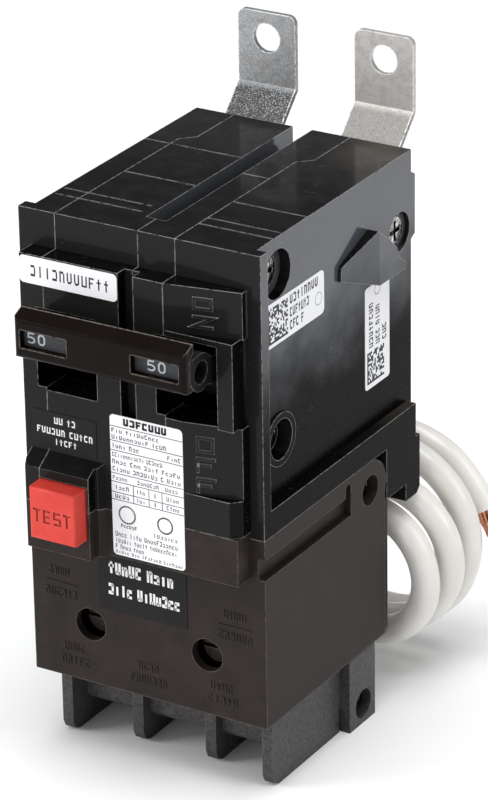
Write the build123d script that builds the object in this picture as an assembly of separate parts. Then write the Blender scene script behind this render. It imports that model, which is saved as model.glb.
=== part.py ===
from build123d import *
import math
import os

os.makedirs("parts", exist_ok=True)

# Two-pole plug-on ground-fault circuit breaker, millimetres.
# Model frame: X across the poles (0 between them), Y into the panel (0 on the shoulder
# face round the handles), Z up (0 on the lower front edge of the module).
# save() moves each piece to the part's own frame: the centre of the base, floor at Z 0.

# ---------------------------------------------------------------- driving dimensions
pole_pitch = 25.4            # one-inch pole width
case_depth = 58.5            # shoulder face to the back of a pole
case_top = 94.0              # top of the poles
case_bottom = 38.4           # joint between the poles and the module
score_width = 0.25           # fine scored lines moulded across the tops
score_deep = 0.3
score_lines = {"left": ((8.2, -22.6, -4.0), (11.3, -22.6, -4.0), (23.6, -17.6, -2.1), (39.7, -23.3, -2.1)),
               "right": ((8.2, 7.8, 23.3), (11.3, 7.8, 23.3), (20.1, 7.8, 23.3), (33.0, 2.1, 7.8))}
body_inset = 2.1             # pole side walls stand in from the full pole width
pole_wall = 1.6              # side walls of a pole
front_wall = 1.8             # front, top and bottom walls
parting_offset = 4.9         # cover/base joint, left of the pole's centre
parting_jog = 2.6            # the joint steps right at the back
parting_jog_y = 42.5
outer_rim_depth = 2.5        # full-width rim at the outer front edge
inner_rim_depth = 6.4        # full-width rim between the poles
band_top = 43.5              # full-width lower band
band_depth = 56.6
face_front = -4.5            # raised front face
face_top = 87.1
face_outer_inset = 2.8
face_inner_inset = 1.6
channel_front = -2.0         # sunk strip between the two raised faces
panel_slope = 0.188          # lettered panels fall back to the right
on_panel_x = 7.8
on_panel_low = 78.1
off_panel_x = 11.4
off_panel_low = 47.0
edge_panel_x = 22.0          # shallow step along the right edge, between the panels
corner_cut_x = 20.8          # bevel below the panels
module_face_top = 39.8       # black and brown faces meet
module_face_bottom = 30.5

recess_left = 6.75           # handle opening, from the pole's centre
recess_right = 6.05
recess_low = 61.0
recess_high = 77.0
recess_tab = 0.5             # the cover's edge of the opening stands higher

pivot_y = 10.5               # handle pivot
pivot_z = 69.0
hub_r = 8.2
toggle_width = 10.3
toggle_offset = -0.25
toggle_web = 5.2
grip_y = -7.9                # tube-shaped toggle head
grip_z = 73.3
grip_r = 3.6
grip_bore_r = 2.2
pivot_pin_r = 1.5
running_gap = 0.05           # shaft in hole, per side

bar_front = -14.0            # tie bar over both toggles
bar_low = 71.0
bar_high = 78.7
bar_crest = 80.0
bar_back = -11.0
bar_edge_r = 1.0
bar_end = 18.0
bar_wall = 1.6
window_width = 9.9
window_low = 73.2
window_high = 76.7
window_x = 11.7
plate_thick = 0.6

strap_offset = 1.1           # line strap, from the pole's centre
strap_width = 12.5
strap_thick = 1.1
strap_back = 66.3
strap_top = 113.0
strap_bend = 98.1
strap_hole_z = 107.84
strap_hole_r = 2.87
strap_corner_r = 1.6
strap_inner_y = 48.7
strap_foot = 73.5
fit_gap = 0.15               # clearance between fixed pieces

arm_y = 24.0                 # contact arm pivot
arm_z = 60.0
tip_z = 77.5
arm_thick = 3.0
contact_r = 2.5
contact_thick = 1.2

screw_a = (9.3, 86.9, 4.7, 2.2)          # case screws: Y, Z, recess radius and depth
screw_b = (54.0, 79.0, 3.9, 1.0)
screw_c = (9.3, 54.7, 3.9, 2.2)
recess_wall = 0.8            # round and behind the deeper recesses
recess_rim_r = 5.2           # raised ring round the lower recess
recess_rim_high = 0.4
screw_shank_r = 1.4
screw_head_r = 2.8
screw_head_deep = 1.4
cross_length = 4.0           # cross slot in a screw's head
cross_width = 0.8
cross_deep = 0.7
boss_r = 3.0

trip_y = 46.0                # common trip bar
trip_z = 47.0
trip_r = 1.5
cradle_y = 31.0              # trip parts in each pole
cradle_z = 50.5
cradle_x0 = 5.6
cradle_x1 = 7.6
cradle_stud = 1.2            # the stud stands past the cradle
bimetal_y = 36.0
bimetal_half = 2.0
bimetal_low = 42.0
bimetal_high = 58.0
yoke_inner = 2.9
yoke_outer = 3.9
armature_y = 40.2
armature_top = 58.0
armature_low = 44.5
finger_x0 = -7.8
finger_x1 = -5.6
plunger_x = -18.9            # ground-fault solenoid
plunger_y = 33.0
plunger_r = 1.1
plunger_tip = 45.2

module_depth = 44.4
module_wall = 2.6
module_front = 1.8
groove_low = 30.4            # side groove above the module's body
groove_high = 34.6
groove_deep = 1.4
groove_end = 31.5
ear_y = 38.9                 # upper module screw and its rounded ear
ear_z = 32.5
ear_r = 5.9
foot_screw_y = 35.8          # lower module screw
foot_screw_z = -11.4
module_screw_r = 3.0
module_screw_sink = 2.0

floor_z = -15.5              # underside of the fins
block_inset = 2.1
block_bottom = -10.5
block_front = 10.5
block_edge_r = 1.6
outer_fin_front = 5.3
inner_fin_front = 8.1
fin_thick = 2.3
inner_fin_x = 8.05
fin_back = 30.0
lug_y0 = 8.0
lug_y1 = 20.0
lug_z0 = 6.0
lug_z1 = 18.0
lug_half = 5.0
lug_bore_r = 3.2
lug_bore_y = 15.0
wire_entry_r = 3.4
screw_hole_z = 12.2
access_r = 3.3
lug_screw_r = 2.4
lug_screw_travel = 2.0
lug_head_r = 3.0
lug_head_thick = 1.8
lug_head_gap = 0.4           # left between head and lug at the end of its travel

back_plate_thick = 2.6
back_plate_low = -2.9
back_plate_high = 27.0

test_x0 = -17.4              # test button head
test_x1 = -7.6
test_z0 = 34.4
test_z1 = 44.7
test_front = -12.0
test_back = -5.0
test_travel = 1.8
test_house_front = -8.0
test_house_x0 = -21.3
test_house_x1 = -7.0
test_house_low = 30.2
test_house_top = 48.9
test_shelf_front = -5.8
test_shelf_x1 = -6.4
test_gap = 0.2
test_floor = test_back + test_travel + test_gap

toroid_y = 26.0
toroid_r = 11.0
toroid_bore_r = 5.6
toroid_low = 22.0
toroid_high = 30.0
load_wire_r = 1.5

wire_r = 2.85                # neutral pigtail
pigtail_x = 6.1
pigtail_z = -7.0
pigtail_start = 43.0
bush_r = 4.2
coil_start = 49.6
coil_step = 58.8             # the turns behind the pole's foot are larger
coil_end = 75.1
coil_front = (14.1, 6.5, 17.3, 11.2)     # centre X, centre Z, outer and inner radius
coil_back = (11.5, 7.4, 22.3, 14.6)
tail_y = 77.0
tail_angle = 22.0
tail_length = 9.0
tail_r = 1.9

label_thick = 0.12
front_label_places = (       # X from and to, Z from and to, Y of the face
    (-22.5, -1.7, 81.5, 86.8, face_front),
    (-21.0, -7.1, 49.4, 56.8, face_front),
    (-10.5, 8.6, 16.5, 29.5, 0),
    (-4.1, 11.3, 31.1, 59.3, face_front),
)
side_label_places = ((4.5, 25.6, 73.5, 82.0), (40.7, 49.9, 51.6, 72.3))     # Y and Z from and to

shift_y = -(bar_front + strap_back) / 2
pole_centres = {"left": -pole_pitch / 2, "right": pole_pitch / 2}
body_half = pole_pitch / 2 - body_inset


# ---------------------------------------------------------------- shape helpers
def block(x0, x1, y0, y1, z0, z1):
    return Pos((x0 + x1) / 2, (y0 + y1) / 2, (z0 + z1) / 2) * Box(x1 - x0, y1 - y0, z1 - z0)


def rod_x(x0, x1, y, z, r):
    return Pos((x0 + x1) / 2, y, z) * Rot(0, 90, 0) * Cylinder(r, x1 - x0)


def rod_y(x, y0, y1, z, r):
    return Pos(x, (y0 + y1) / 2, z) * Rot(90, 0, 0) * Cylinder(r, y1 - y0)


def rod_z(x, y, z0, z1, r):
    return Pos(x, y, (z0 + z1) / 2) * Cylinder(r, z1 - z0)


def side_profile(points, x0, x1):
    """An outline in Y and Z, carried from x0 to x1."""
    face = make_face(Polyline(*points, close=True))
    return extrude(Plane.YZ.offset(x0) * face, x1 - x0)


def plan_profile(points, z0, z1):
    """An outline in X and Y, carried from z0 to z1."""
    face = make_face(Polyline(*points, close=True))
    return extrude(Plane.XY.offset(z0) * face, z1 - z0)


def bent_rod(points, radius, bends):
    path = FilletPolyline(*points, radius=bends)
    start = Plane(origin=path @ 0, z_dir=path % 0)
    return sweep(start * Circle(radius), path=path)


def spring_tube(x, z, y0, y1, r_out, r_in):
    return rod_y(x, y0, y1, z, r_out) - rod_y(x, y0 - 1, y1 + 1, z, r_in)


def save(name, *pieces):
    solids = []
    for piece in pieces:
        solids.extend(piece.solids())
    placed = [solid.moved(Location((0, shift_y, -floor_z))) for solid in solids]
    export_step(placed[0] if len(placed) == 1 else Compound(children=placed), f"parts/{name}.step")


# ---------------------------------------------------------------- pole cases
def case_screw_places():
    return (screw_a, screw_b, screw_c)


def body_outline():
    """Side view of a pole above the lower band, with the low rib across its back."""
    rib = 1.5
    return [(0, case_bottom), (case_depth, case_bottom), (case_depth, 76.0), (case_depth + rib, 76.8),
            (case_depth + rib, 88.7), (case_depth, 89.5), (case_depth, case_top), (0, case_top)]


def band_shape(x0, x1):
    """Lower band with the rear foot that hooks on the panel's mounting rail."""
    back = case_depth - 0.35
    points = [(0, case_bottom), (45.2, case_bottom), (45.2, 28.0), (52.7, 28.0), (52.7, 24.4),
              (back - 1.2, 24.4), (back, 25.6), (back, 36.5), (band_depth, 36.5), (band_depth, band_top),
              (0, band_top)]
    return side_profile(points, x0, x1)


def pole_shell(side):
    """One pole's case as a single hollow shell, before it is parted into base and cover."""
    centre = pole_centres[side]
    outward = 1 if side == "right" else -1
    half = pole_pitch / 2
    shell = side_profile(body_outline(), centre - body_half, centre + body_half)
    shell += band_shape(centre - half, centre + half)
    shell += block(centre - half, centre + half, 0, outer_rim_depth, case_bottom, case_top)
    inner = sorted((0, outward * (body_inset + 1)))
    shell += block(inner[0], inner[1], 0, inner_rim_depth, case_bottom, case_top)
    face = sorted((outward * face_inner_inset, outward * (pole_pitch - face_outer_inset)))
    shell += block(face[0], face[1], face_front, 0, module_face_top, face_top)
    strip = sorted((0, outward * face_inner_inset))
    shell += block(strip[0], strip[1], channel_front, 0, module_face_top, face_top)
    if side == "left":
        shell += test_housing(module_face_top, test_house_top)
    shell -= block(centre - body_half + pole_wall, centre + body_half - pole_wall, front_wall,
                   case_depth - pole_wall, case_bottom + front_wall, case_top - front_wall)
    shell += screw_bosses(centre, outward)
    if side == "right":
        shell += screw_cups(centre + body_half)
    return shell


def screw_bosses(centre, outward):
    """Inner bosses round the case screws, and spacers that meet between the poles."""
    gap_side = sorted((0, outward * body_inset))
    bosses = Part()
    for y, z, sink_r, sink in case_screw_places():
        bosses += rod_x(centre - body_half + 0.5, centre + body_half - 0.5, y, z, boss_r)
        bosses += rod_x(gap_side[0], gap_side[1], y, z, boss_r + 0.8)
    return bosses


def screw_cups(outer):
    """Walls of the recesses that are deeper than the side wall, and the ring round the lower one."""
    cups = Part()
    for y, z, sink_r, sink in case_screw_places():
        if sink > pole_wall:
            cups += rod_x(outer - sink - screw_head_deep - recess_wall, outer, y, z, sink_r + recess_wall)
    cups += rod_x(outer - pole_wall, outer + recess_rim_high, screw_c[0], screw_c[1], recess_rim_r)
    return cups


def test_housing(z0, z1):
    """Raised housing round the test button, with the lower step on its right."""
    bevel = 1.4
    points = [(test_house_x0, 0), (test_house_x0, test_house_front + bevel),
              (test_house_x0 + 0.6, test_house_front), (test_house_x1, test_house_front),
              (test_house_x1, test_shelf_front), (test_shelf_x1, test_shelf_front),
              (test_shelf_x1 + 0.9, face_front), (test_shelf_x1 + 0.9, 0)]
    housing = plan_profile(points, z0, z1)
    if z1 == test_house_top:
        ramp = [(face_front, z1), (test_house_front - 1, z1), (test_house_front - 1, z1 - 3.0),
                (test_house_front, z1 - 2.2)]
        housing -= side_profile(ramp, test_house_x0 - 1, test_shelf_x1 + 3)
    return housing


def test_pocket():
    """Pocket that the test button's head moves in."""
    return block(test_x0 - test_gap, test_x1 + test_gap, test_house_front - 1, test_floor,
                 test_z0 - test_gap, test_z1 + test_gap)


def pole_cuts(side):
    """Everything that is cut through the pole's case."""
    centre = pole_centres[side]
    cuts = block(centre - recess_left, centre + recess_right, face_front - 1, front_wall + 0.1,
                 recess_low + recess_tab, recess_high)
    cuts += block(centre - parting_offset, centre + recess_right, face_front - 1, front_wall + 0.1,
                  recess_low, recess_low + recess_tab + 0.1)
    drill_from = -0.1 if side == "right" else centre - body_half + pole_wall
    for y, z, sink_r, sink in case_screw_places():
        cuts += rod_x(drill_from, centre + pole_pitch, y, z, screw_shank_r + running_gap)
    if side == "right":
        outer = centre + body_half
        for y, z, sink_r, sink in case_screw_places():
            cuts += rod_x(outer - sink - screw_head_deep, outer + 3, y, z, screw_head_r + fit_gap)
            cuts += rod_x(outer - sink, outer + 3, y, z, sink_r)
        cuts += sloped_panels()
    else:
        cuts += test_pocket()
        cuts += rod_z(plunger_x, plunger_y, case_bottom - 1, case_bottom + front_wall + 0.1, plunger_r + 0.4)
    cuts += rod_z(centre, bimetal_y - 1.5, case_bottom - 1, case_bottom + front_wall + 0.1,
                  load_wire_r + fit_gap)
    cuts += strap_shape(centre, fit_gap)
    for y, x0, x1 in score_lines[side]:
        cuts += block(x0, x1, y - score_width / 2, y + score_width / 2, case_top - score_deep, case_top + 1)
    inner_side = sorted((centre, -0.1 * centre))
    cuts += rod_x(inner_side[0], inner_side[1], trip_y, trip_z, trip_r + 0.2)
    return cuts


def sloped_cut(x0, deep, z0, z1):
    """A wedge off the right pole's face: none at x0, deep at its right edge."""
    right = pole_pitch - face_outer_inset + 1
    points = [(x0, face_front), (right, face_front + deep), (right, face_front - 1), (x0, face_front - 1)]
    return plan_profile(points, z0, z1)


def sloped_panels():
    """The right pole's lettered panels, which slope back to the right."""
    right = pole_pitch - face_outer_inset + 1
    cuts = sloped_cut(on_panel_x, (right - on_panel_x) * panel_slope, on_panel_low, face_top + 1)
    cuts += sloped_cut(off_panel_x, (right - off_panel_x) * panel_slope, off_panel_low, recess_low)
    cuts += block(edge_panel_x, right, face_front - 1, 0, recess_low, on_panel_low)
    cuts += sloped_cut(corner_cut_x, face_outer_inset, module_face_top - 1, off_panel_low)
    return cuts


def side_wedge():
    """Faceted key on the outer face of the right pole, hollowed round a case screw."""
    base = pole_centres["right"] + body_half
    tall = body_inset + 0.2
    points = [(42.1, 83.8), (30.9, 80.2), (30.8, 77.5), (42.5, 72.9), (52.4, 72.8), (52.4, 75.0),
              (46.5, 80.5)]
    wedge = side_profile(points, base - 0.2, base + tall)
    slope = [(base + tall, 42.3), (base + 0.6, 30.0), (base + tall + 1, 30.0), (base + tall + 1, 42.3)]
    wedge -= plan_profile(slope, 70, 90)
    wedge -= rod_x(base - 1, base + tall + 1, screw_b[0], screw_b[1], screw_b[2] + 1.1)
    return wedge


def parting_tool(centre):
    """Everything left of the stepped joint between cover and base."""
    near = centre - parting_offset
    far = near + parting_jog
    points = [(-40, -30), (near, -30), (near, parting_jog_y), (far, parting_jog_y + parting_jog), (far, 80),
              (-40, 80)]
    return plan_profile(points, 10, 120)


def build_poles():
    for side, centre in pole_centres.items():
        shell = pole_shell(side) - pole_cuts(side)
        if side == "right":
            shell += side_wedge()
        left_of_joint = parting_tool(centre)
        save(f"{side}_pole_cover", shell & left_of_joint)
        save(f"{side}_pole_base", shell - left_of_joint)


def cross_screw(end, outer, y, z):
    """A long screw with a cross slot, from its tip at end to its head's face at outer."""
    long = cross_length / 2
    wide = cross_width / 2
    head = rod_x(outer - screw_head_deep, outer, y, z, screw_head_r)
    head -= block(outer - cross_deep, outer + 1, y - wide, y + wide, z - long, z + long)
    head -= block(outer - cross_deep, outer + 1, y - long, y + long, z - wide, z + wide)
    return head + rod_x(end, outer - screw_head_deep, y, z, screw_shank_r)


def build_case_screws():
    """Three long screws from the right face through both poles."""
    outer = pole_centres["right"] + body_half
    end = pole_centres["left"] - body_half + pole_wall + 0.4
    save("case_screws", *[cross_screw(end, outer - sink, y, z) for y, z, sink_r, sink in case_screw_places()])


# ---------------------------------------------------------------- handle
def toggle_centre(side):
    return pole_centres[side] + toggle_offset


def build_toggles():
    half = toggle_width / 2
    web = toggle_web / 2
    angle = math.atan2(grip_z - pivot_z, pivot_y - grip_y)
    dy = web * math.sin(angle)
    dz = web * math.cos(angle)
    for side in pole_centres:
        x = toggle_centre(side)
        outline = [(pivot_y - dy, pivot_z - dz), (grip_y - dy, grip_z - dz), (grip_y + dy, grip_z + dz),
                   (pivot_y + dy, pivot_z + dz)]
        toggle = rod_x(x - half, x + half, pivot_y, pivot_z, hub_r)
        toggle += side_profile(outline, x - half, x + half)
        toggle += rod_x(x - half, x + half, grip_y, grip_z, grip_r)
        toggle += block(x - half, x + half, bar_front + bar_wall + plate_thick + 0.1, grip_y, grip_z - 0.9,
                        bar_high - bar_wall - 0.4)
        toggle -= rod_x(x - half - 1, x + half + 1, grip_y, grip_z, grip_bore_r)
        toggle -= rod_x(x - half - 1, x + half + 1, pivot_y, pivot_z, pivot_pin_r + running_gap)
        save(f"{side}_toggle", toggle)


def build_tie_bar():
    """Channel that caps both toggles, with a window over each rating plate."""
    top = bar_high - bar_wall
    inner = bar_front + bar_wall
    lip = bar_front + 2.4
    outline = [(bar_front, bar_low), (bar_front, bar_high), (bar_back, bar_crest),
               (bar_back, bar_crest - bar_wall), (inner + 0.3, top), (inner, top - 0.3),
               (inner, bar_low + 1.2), (lip, bar_low + 1.2), (lip, bar_low)]
    bar = side_profile(outline, -bar_end, bar_end)
    bar = fillet(bar.faces().sort_by(Axis.Y)[0].edges(), bar_edge_r)
    for x in (-window_x, window_x):
        bar -= block(x - window_width / 2, x + window_width / 2, bar_front - 1, bar_front + bar_wall + 0.05,
                     window_low, window_high)
    save("handle_tie_bar", bar)
    plates = []
    for x in (-window_x, window_x):
        y = bar_front + bar_wall
        plates.append(block(x - window_width / 2 - 0.3, x + window_width / 2 + 0.3, y, y + plate_thick,
                            window_low - 0.5, window_high + 0.05))
    save("rating_plates", *plates)


def build_tie_pin():
    reach = toggle_centre("right") + toggle_width / 2 - 3
    save("handle_tie_pin", rod_x(-reach - 0.5, reach, grip_y, grip_z, grip_bore_r))


# ---------------------------------------------------------------- line straps and contacts
def strap_shape(centre, extra):
    """Flat bar: bolt tab, forty-five degree run into the case, contact leg."""
    t = strap_thick + 2 * extra
    half = strap_width / 2 + extra
    x = centre + strap_offset
    back = strap_back + extra
    run = back - (strap_inner_y + strap_thick + extra)
    knee = strap_bend - run
    lean = t * math.tan(math.radians(22.5))
    outline = [(back, strap_top + extra), (back, strap_bend + extra * 0.4), (back - run, knee + extra * 0.4),
               (back - run, strap_foot - extra), (back - run - t, strap_foot - extra),
               (back - run - t, knee + lean + extra * 0.4), (back - t, strap_bend + lean + extra * 0.4),
               (back - t, strap_top + extra)]
    return side_profile(outline, x - half, x + half)


def build_line_side():
    for side, centre in pole_centres.items():
        strap = strap_shape(centre, 0)
        x = centre + strap_offset
        strap -= rod_y(x, strap_back - 5, strap_back + 5, strap_hole_z, strap_hole_r)
        corners = strap.edges().filter_by(Axis.Y).group_by(Axis.Z)[-1]
        strap = fillet(corners, strap_corner_r)
        save(f"{side}_line_strap", strap)
    contacts = []
    for centre in pole_centres.values():
        contacts.append(rod_y(centre, strap_inner_y - contact_thick, strap_inner_y, tip_z, contact_r))
    save("fixed_contacts", *contacts)


def arm_tip_y():
    return strap_inner_y - contact_thick - contact_thick - 0.05


def build_contact_arms():
    """Blade from its pivot up to the contact, one in each pole."""
    tip = arm_tip_y()
    for side, centre in pole_centres.items():
        outline = [(arm_y - 3.2, arm_z - 1.5), (arm_y + 1.0, arm_z - 3.2), (arm_y + 3.4, arm_z + 0.5),
                   (tip - 3.0, tip_z - 4.0), (tip, tip_z - 2.8), (tip, tip_z + 2.8), (tip - 2.6, tip_z + 2.8)]
        arm = side_profile(outline, centre - arm_thick / 2, centre + arm_thick / 2)
        arm -= rod_x(centre - 5, centre + 5, arm_y, arm_z, pivot_pin_r + running_gap)
        save(f"{side}_contact_arm", arm)
        save(f"{side}_moving_contact", rod_y(centre, tip, tip + contact_thick, tip_z, contact_r))


def build_pivot_pins():
    """Pins right across each pole for its toggle and contact arm, and a stud for its cradle."""
    pins = []
    for centre in pole_centres.values():
        end = body_half - pole_wall
        for y, z in ((pivot_y, pivot_z), (arm_y, arm_z)):
            pins.append(rod_x(centre - end, centre + end, y, z, pivot_pin_r))
        pins.append(rod_x(centre + cradle_x0 - cradle_stud, centre + end, cradle_y, cradle_z, pivot_pin_r))
    save("pivot_pins", *pins)


def build_arc_chutes():
    """Slotted steel plates round the path of the contact tip."""
    count = 5
    spacing = 2.6
    for side, centre in pole_centres.items():
        plates = []
        for index in range(count):
            y = 44.0 - index * spacing
            plate = block(centre - 7.6, centre + 7.6, y - 0.8, y, 82.5, case_top - front_wall)
            plate -= block(centre - 3.6, centre + 3.6, y - 2, y + 1, 82.0, 88.6)
            plates.append(plate)
        save(f"{side}_arc_chute", *plates)


# ---------------------------------------------------------------- trip parts in each pole
def build_cradles():
    for side, centre in pole_centres.items():
        outline = [(cradle_y - 3.0, cradle_z - 2.5), (cradle_y + 2.5, cradle_z - 3.0), (43.0, 62.5),
                   (42.0, 66.0), (39.5, 65.0), (cradle_y - 2.0, cradle_z + 3.2)]
        cradle = side_profile(outline, centre + cradle_x0, centre + cradle_x1)
        cradle -= rod_x(centre, centre + 9, cradle_y, cradle_z, pivot_pin_r + running_gap)
        save(f"{side}_trip_cradle", cradle)


def build_trip_units():
    yokes = []
    hinge_pins = []
    for side, centre in pole_centres.items():
        strip = block(centre - bimetal_half, centre + bimetal_half, bimetal_y, bimetal_y + 0.9, bimetal_low,
                      bimetal_high)
        foot = block(centre - 3.0, centre + 3.0, bimetal_y - 3.0, bimetal_y + 0.9,
                     case_bottom + front_wall, bimetal_low)
        save(f"{side}_bimetal", strip + foot)
        yoke = block(centre - yoke_outer, centre + yoke_outer, bimetal_y - 2.4, bimetal_y - 1.4, 44.0, 56.0)
        for inner, outer in ((-yoke_outer, -yoke_inner), (yoke_inner, yoke_outer)):
            yoke += block(centre + inner, centre + outer, bimetal_y - 2.4, bimetal_y + 2.8, 44.0, 56.0)
        yoke += block(centre - bimetal_half, centre + bimetal_half, bimetal_y - 1.5, bimetal_y, 44.0, 47.0)
        yokes.append(yoke)
        armature = block(centre - 3.8, centre + 3.8, armature_y, armature_y + 1.2, armature_low, armature_top)
        armature += rod_x(centre - 3.8, centre + 3.8, armature_y + 0.6, armature_top, 1.6)
        armature -= rod_x(centre - 5, centre + 5, armature_y + 0.6, armature_top, 0.8 + running_gap)
        save(f"{side}_armature", armature)
        wall = centre - body_half + pole_wall
        hinge_pins.append(rod_x(wall, centre + 5.0, armature_y + 0.6, armature_top, 0.8))
    save("magnet_yokes", *yokes)
    save("armature_pins", *hinge_pins)


def build_trip_bar():
    """Bar across both poles: a paddle over the solenoid and a finger in each pole."""
    reach = pole_centres["right"] + body_half - pole_wall - 0.3
    bar = rod_x(-reach, reach, trip_y, trip_z, trip_r)
    left = pole_centres["left"]
    bar += block(left + finger_x0, left + finger_x1, plunger_y - 1.5, trip_y, trip_z - 0.9, trip_z + 0.6)
    for centre in pole_centres.values():
        bar += block(centre + finger_x0, centre + finger_x1, trip_y - 0.7, trip_y + 0.7, trip_z, trip_z + 7.5)
    save("trip_bar", bar)


def build_toggle_springs():
    """Over-centre springs, drawn at their rest length."""
    for side, centre in pole_centres.items():
        y0 = pivot_y + hub_r + 0.4
        spring = rod_y(centre, y0, 29.0, 72.5, 1.7) - rod_y(centre, y0 - 1, 30.0, 72.5, 1.1)
        save(f"{side}_toggle_spring", spring)


# ---------------------------------------------------------------- module
def module_body():
    half = pole_pitch
    body = block(-half, half, 0, module_depth, 0, case_bottom)
    body += block(-half + face_outer_inset, half - face_outer_inset - 0.2, face_front, 0.5,
                  module_face_bottom, module_face_top)
    body -= block(-half - 1, half + 1, 0, module_depth + 1, case_bottom, case_bottom + 5)
    body += test_housing(test_house_low, module_face_top)
    corner = block(-half - 1, half + 1, ear_y, module_depth + 1, ear_z, case_bottom + 1)
    body -= corner - rod_x(-half - 2, half + 2, ear_y, ear_z, ear_r)
    inner = half - block_inset
    lug_block = block(-inner, inner, block_front, 43.0, block_bottom, 0)
    lower_front = lug_block.edges().filter_by(Axis.X).group_by(Axis.Z)[0].sort_by(Axis.Y)[0]
    body += fillet(lower_front, block_edge_r)
    for sign in (-1, 1):
        foot = sorted((sign * 16.0, sign * half))
        body += block(foot[0], foot[1], 30.6, 40.3, floor_z, 0)
        outer = sorted((sign * inner, sign * (inner - fin_thick)))
        body += fin(outer[0], outer[1], outer_fin_front)
        centre = sign * inner_fin_x
        body += fin(centre - fin_thick / 2, centre + fin_thick / 2, inner_fin_front)
    body += rod_x(-16.5, 16.5, foot_screw_y, foot_screw_z, boss_r)
    return body


def fin(x0, x1, front):
    """Barrier between two wire bays, rounded at its lower front corner."""
    points = [(front, 0), (front, floor_z + 2.2), (front + 0.7, floor_z + 0.7), (front + 2.2, floor_z),
              (fin_back, floor_z), (fin_back, 0)]
    return side_profile(points, x0, x1)


def ear_plate(x0, x1):
    """Rounded ear round the upper module screw, standing past the module's back."""
    return rod_x(x0, x1, ear_y, ear_z, ear_r)


def module_cavity():
    inner = pole_pitch - module_wall
    room = block(-inner, inner, module_front, module_depth - module_front, module_front,
                 case_bottom - front_wall)
    room += block(4.0, 16.0, 30.0, 41.2, block_bottom + 2, module_front + 0.1)
    return room


def module_cuts():
    half = pole_pitch
    cuts = Part()
    for sign in (-1, 1):
        side = sorted((sign * (half - groove_deep), sign * (half + 1)))
        cuts += block(side[0], side[1], -1, groove_end, groove_low, groove_high)
        cuts += block(side[0], side[1], groove_end - 1.9, groove_end, groove_low, groove_high + 1.6)
        cuts += rod_x(side[0], side[1], groove_end - 0.95, groove_high + 1.6, 0.95)
    for x in (pole_centres["left"], pole_centres["right"]):
        cuts += rod_y(x, -1, module_front + 0.5, screw_hole_z, access_r)
    cuts += rod_y(0, module_depth - module_front - 1, module_depth + 1, screw_hole_z, access_r)
    for x in (pole_centres["left"], 0, pole_centres["right"]):
        cuts += rod_z(x, lug_bore_y, block_bottom - 1, module_front + 0.5, wire_entry_r)
    for centre in pole_centres.values():
        cuts += rod_z(centre, bimetal_y - 1.5, case_bottom - front_wall - 1, case_bottom + 1,
                      load_wire_r + fit_gap)
    cuts += rod_z(plunger_x, plunger_y, case_bottom - front_wall - 1, case_bottom + 1, plunger_r + 0.4)
    cuts += test_pocket()
    cuts += block(-15.0 - fit_gap, -10.0 + fit_gap, test_floor - 1, module_front + 1, 34.5 - fit_gap,
                  36.3 + fit_gap)
    cuts += rod_y(pigtail_x, 40.0, pigtail_start + 1, pigtail_z, bush_r - 1.0 + fit_gap)
    for y, z in module_screw_places():
        cuts += rod_x(-half - 1, half + 1, y, z, screw_shank_r + running_gap)
        cuts += rod_x(half - module_screw_sink - screw_head_deep, half + 1, y, z, module_screw_r)
    return cuts


def module_screw_places():
    return ((ear_y, ear_z), (foot_screw_y, foot_screw_z))


def side_cover_zone(extra):
    """The left wall of the module, which is a separate plate."""
    half = pole_pitch
    points = [(0.8 - extra, 1.5 - extra), (0.8 - extra, case_bottom), (41.5 + extra, case_bottom),
              (41.5 + extra, 1.5 - extra)]
    return side_profile(points, -half, -half + module_wall)


def build_module():
    half = pole_pitch
    body = module_body() - module_cavity()
    body += ear_plate(half - module_wall, half)
    body += ear_plate(-half, -half + module_wall)
    body += rod_x(-half + module_wall, half - module_wall, ear_y, ear_z, boss_r)
    body -= block(-half - 1, half + 1, 30, 46, case_bottom, case_bottom + 2)
    body -= module_cuts()
    zone = side_cover_zone(0)
    save("module_side_cover", body & zone)
    save("module_housing", body - zone)


def build_back_plate():
    """Plate on the module's back, rounded at its lower corners."""
    half = pole_pitch - 0.9
    y0 = module_depth
    plate = block(-half, half, y0, y0 + back_plate_thick, back_plate_low, back_plate_high)
    corners = plate.edges().filter_by(Axis.Y).group_by(Axis.Z)[0]
    plate = fillet(corners, 3.0)
    plate -= rod_y(0, y0 - 1, y0 + back_plate_thick + 1, screw_hole_z, access_r)
    save("module_back_plate", plate)


def build_module_screws():
    """Two long screws from the right face through the module."""
    outer = pole_pitch - module_screw_sink
    end = -pole_pitch + 1.0
    save("module_screws", *[cross_screw(end, outer, y, z) for y, z in module_screw_places()])


def build_test_button():
    head = block(test_x0, test_x1, test_front, test_back, test_z0, test_z1)
    head = fillet(head.faces().sort_by(Axis.Y)[0].edges(), 0.5)
    stem = block(-15.0, -10.0, test_back - 0.5, 4.0, 34.5, 36.3)
    collar = block(-15.5, -9.5, module_front + 0.1, module_front + 2.1, 29.0, 36.3)
    save("test_button", head + stem + collar)
    save("test_spring", spring_tube(-12.5, 32.0, module_front + 2.1, 12.0, 2.2, 1.6))
    switch = block(-16.5, -8.5, 12.0, 14.5, 28.0, case_bottom - front_wall)
    switch += block(-14.0, -11.0, 14.5, 16.0, 30.0, 33.0)
    save("test_switch", switch)


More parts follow.
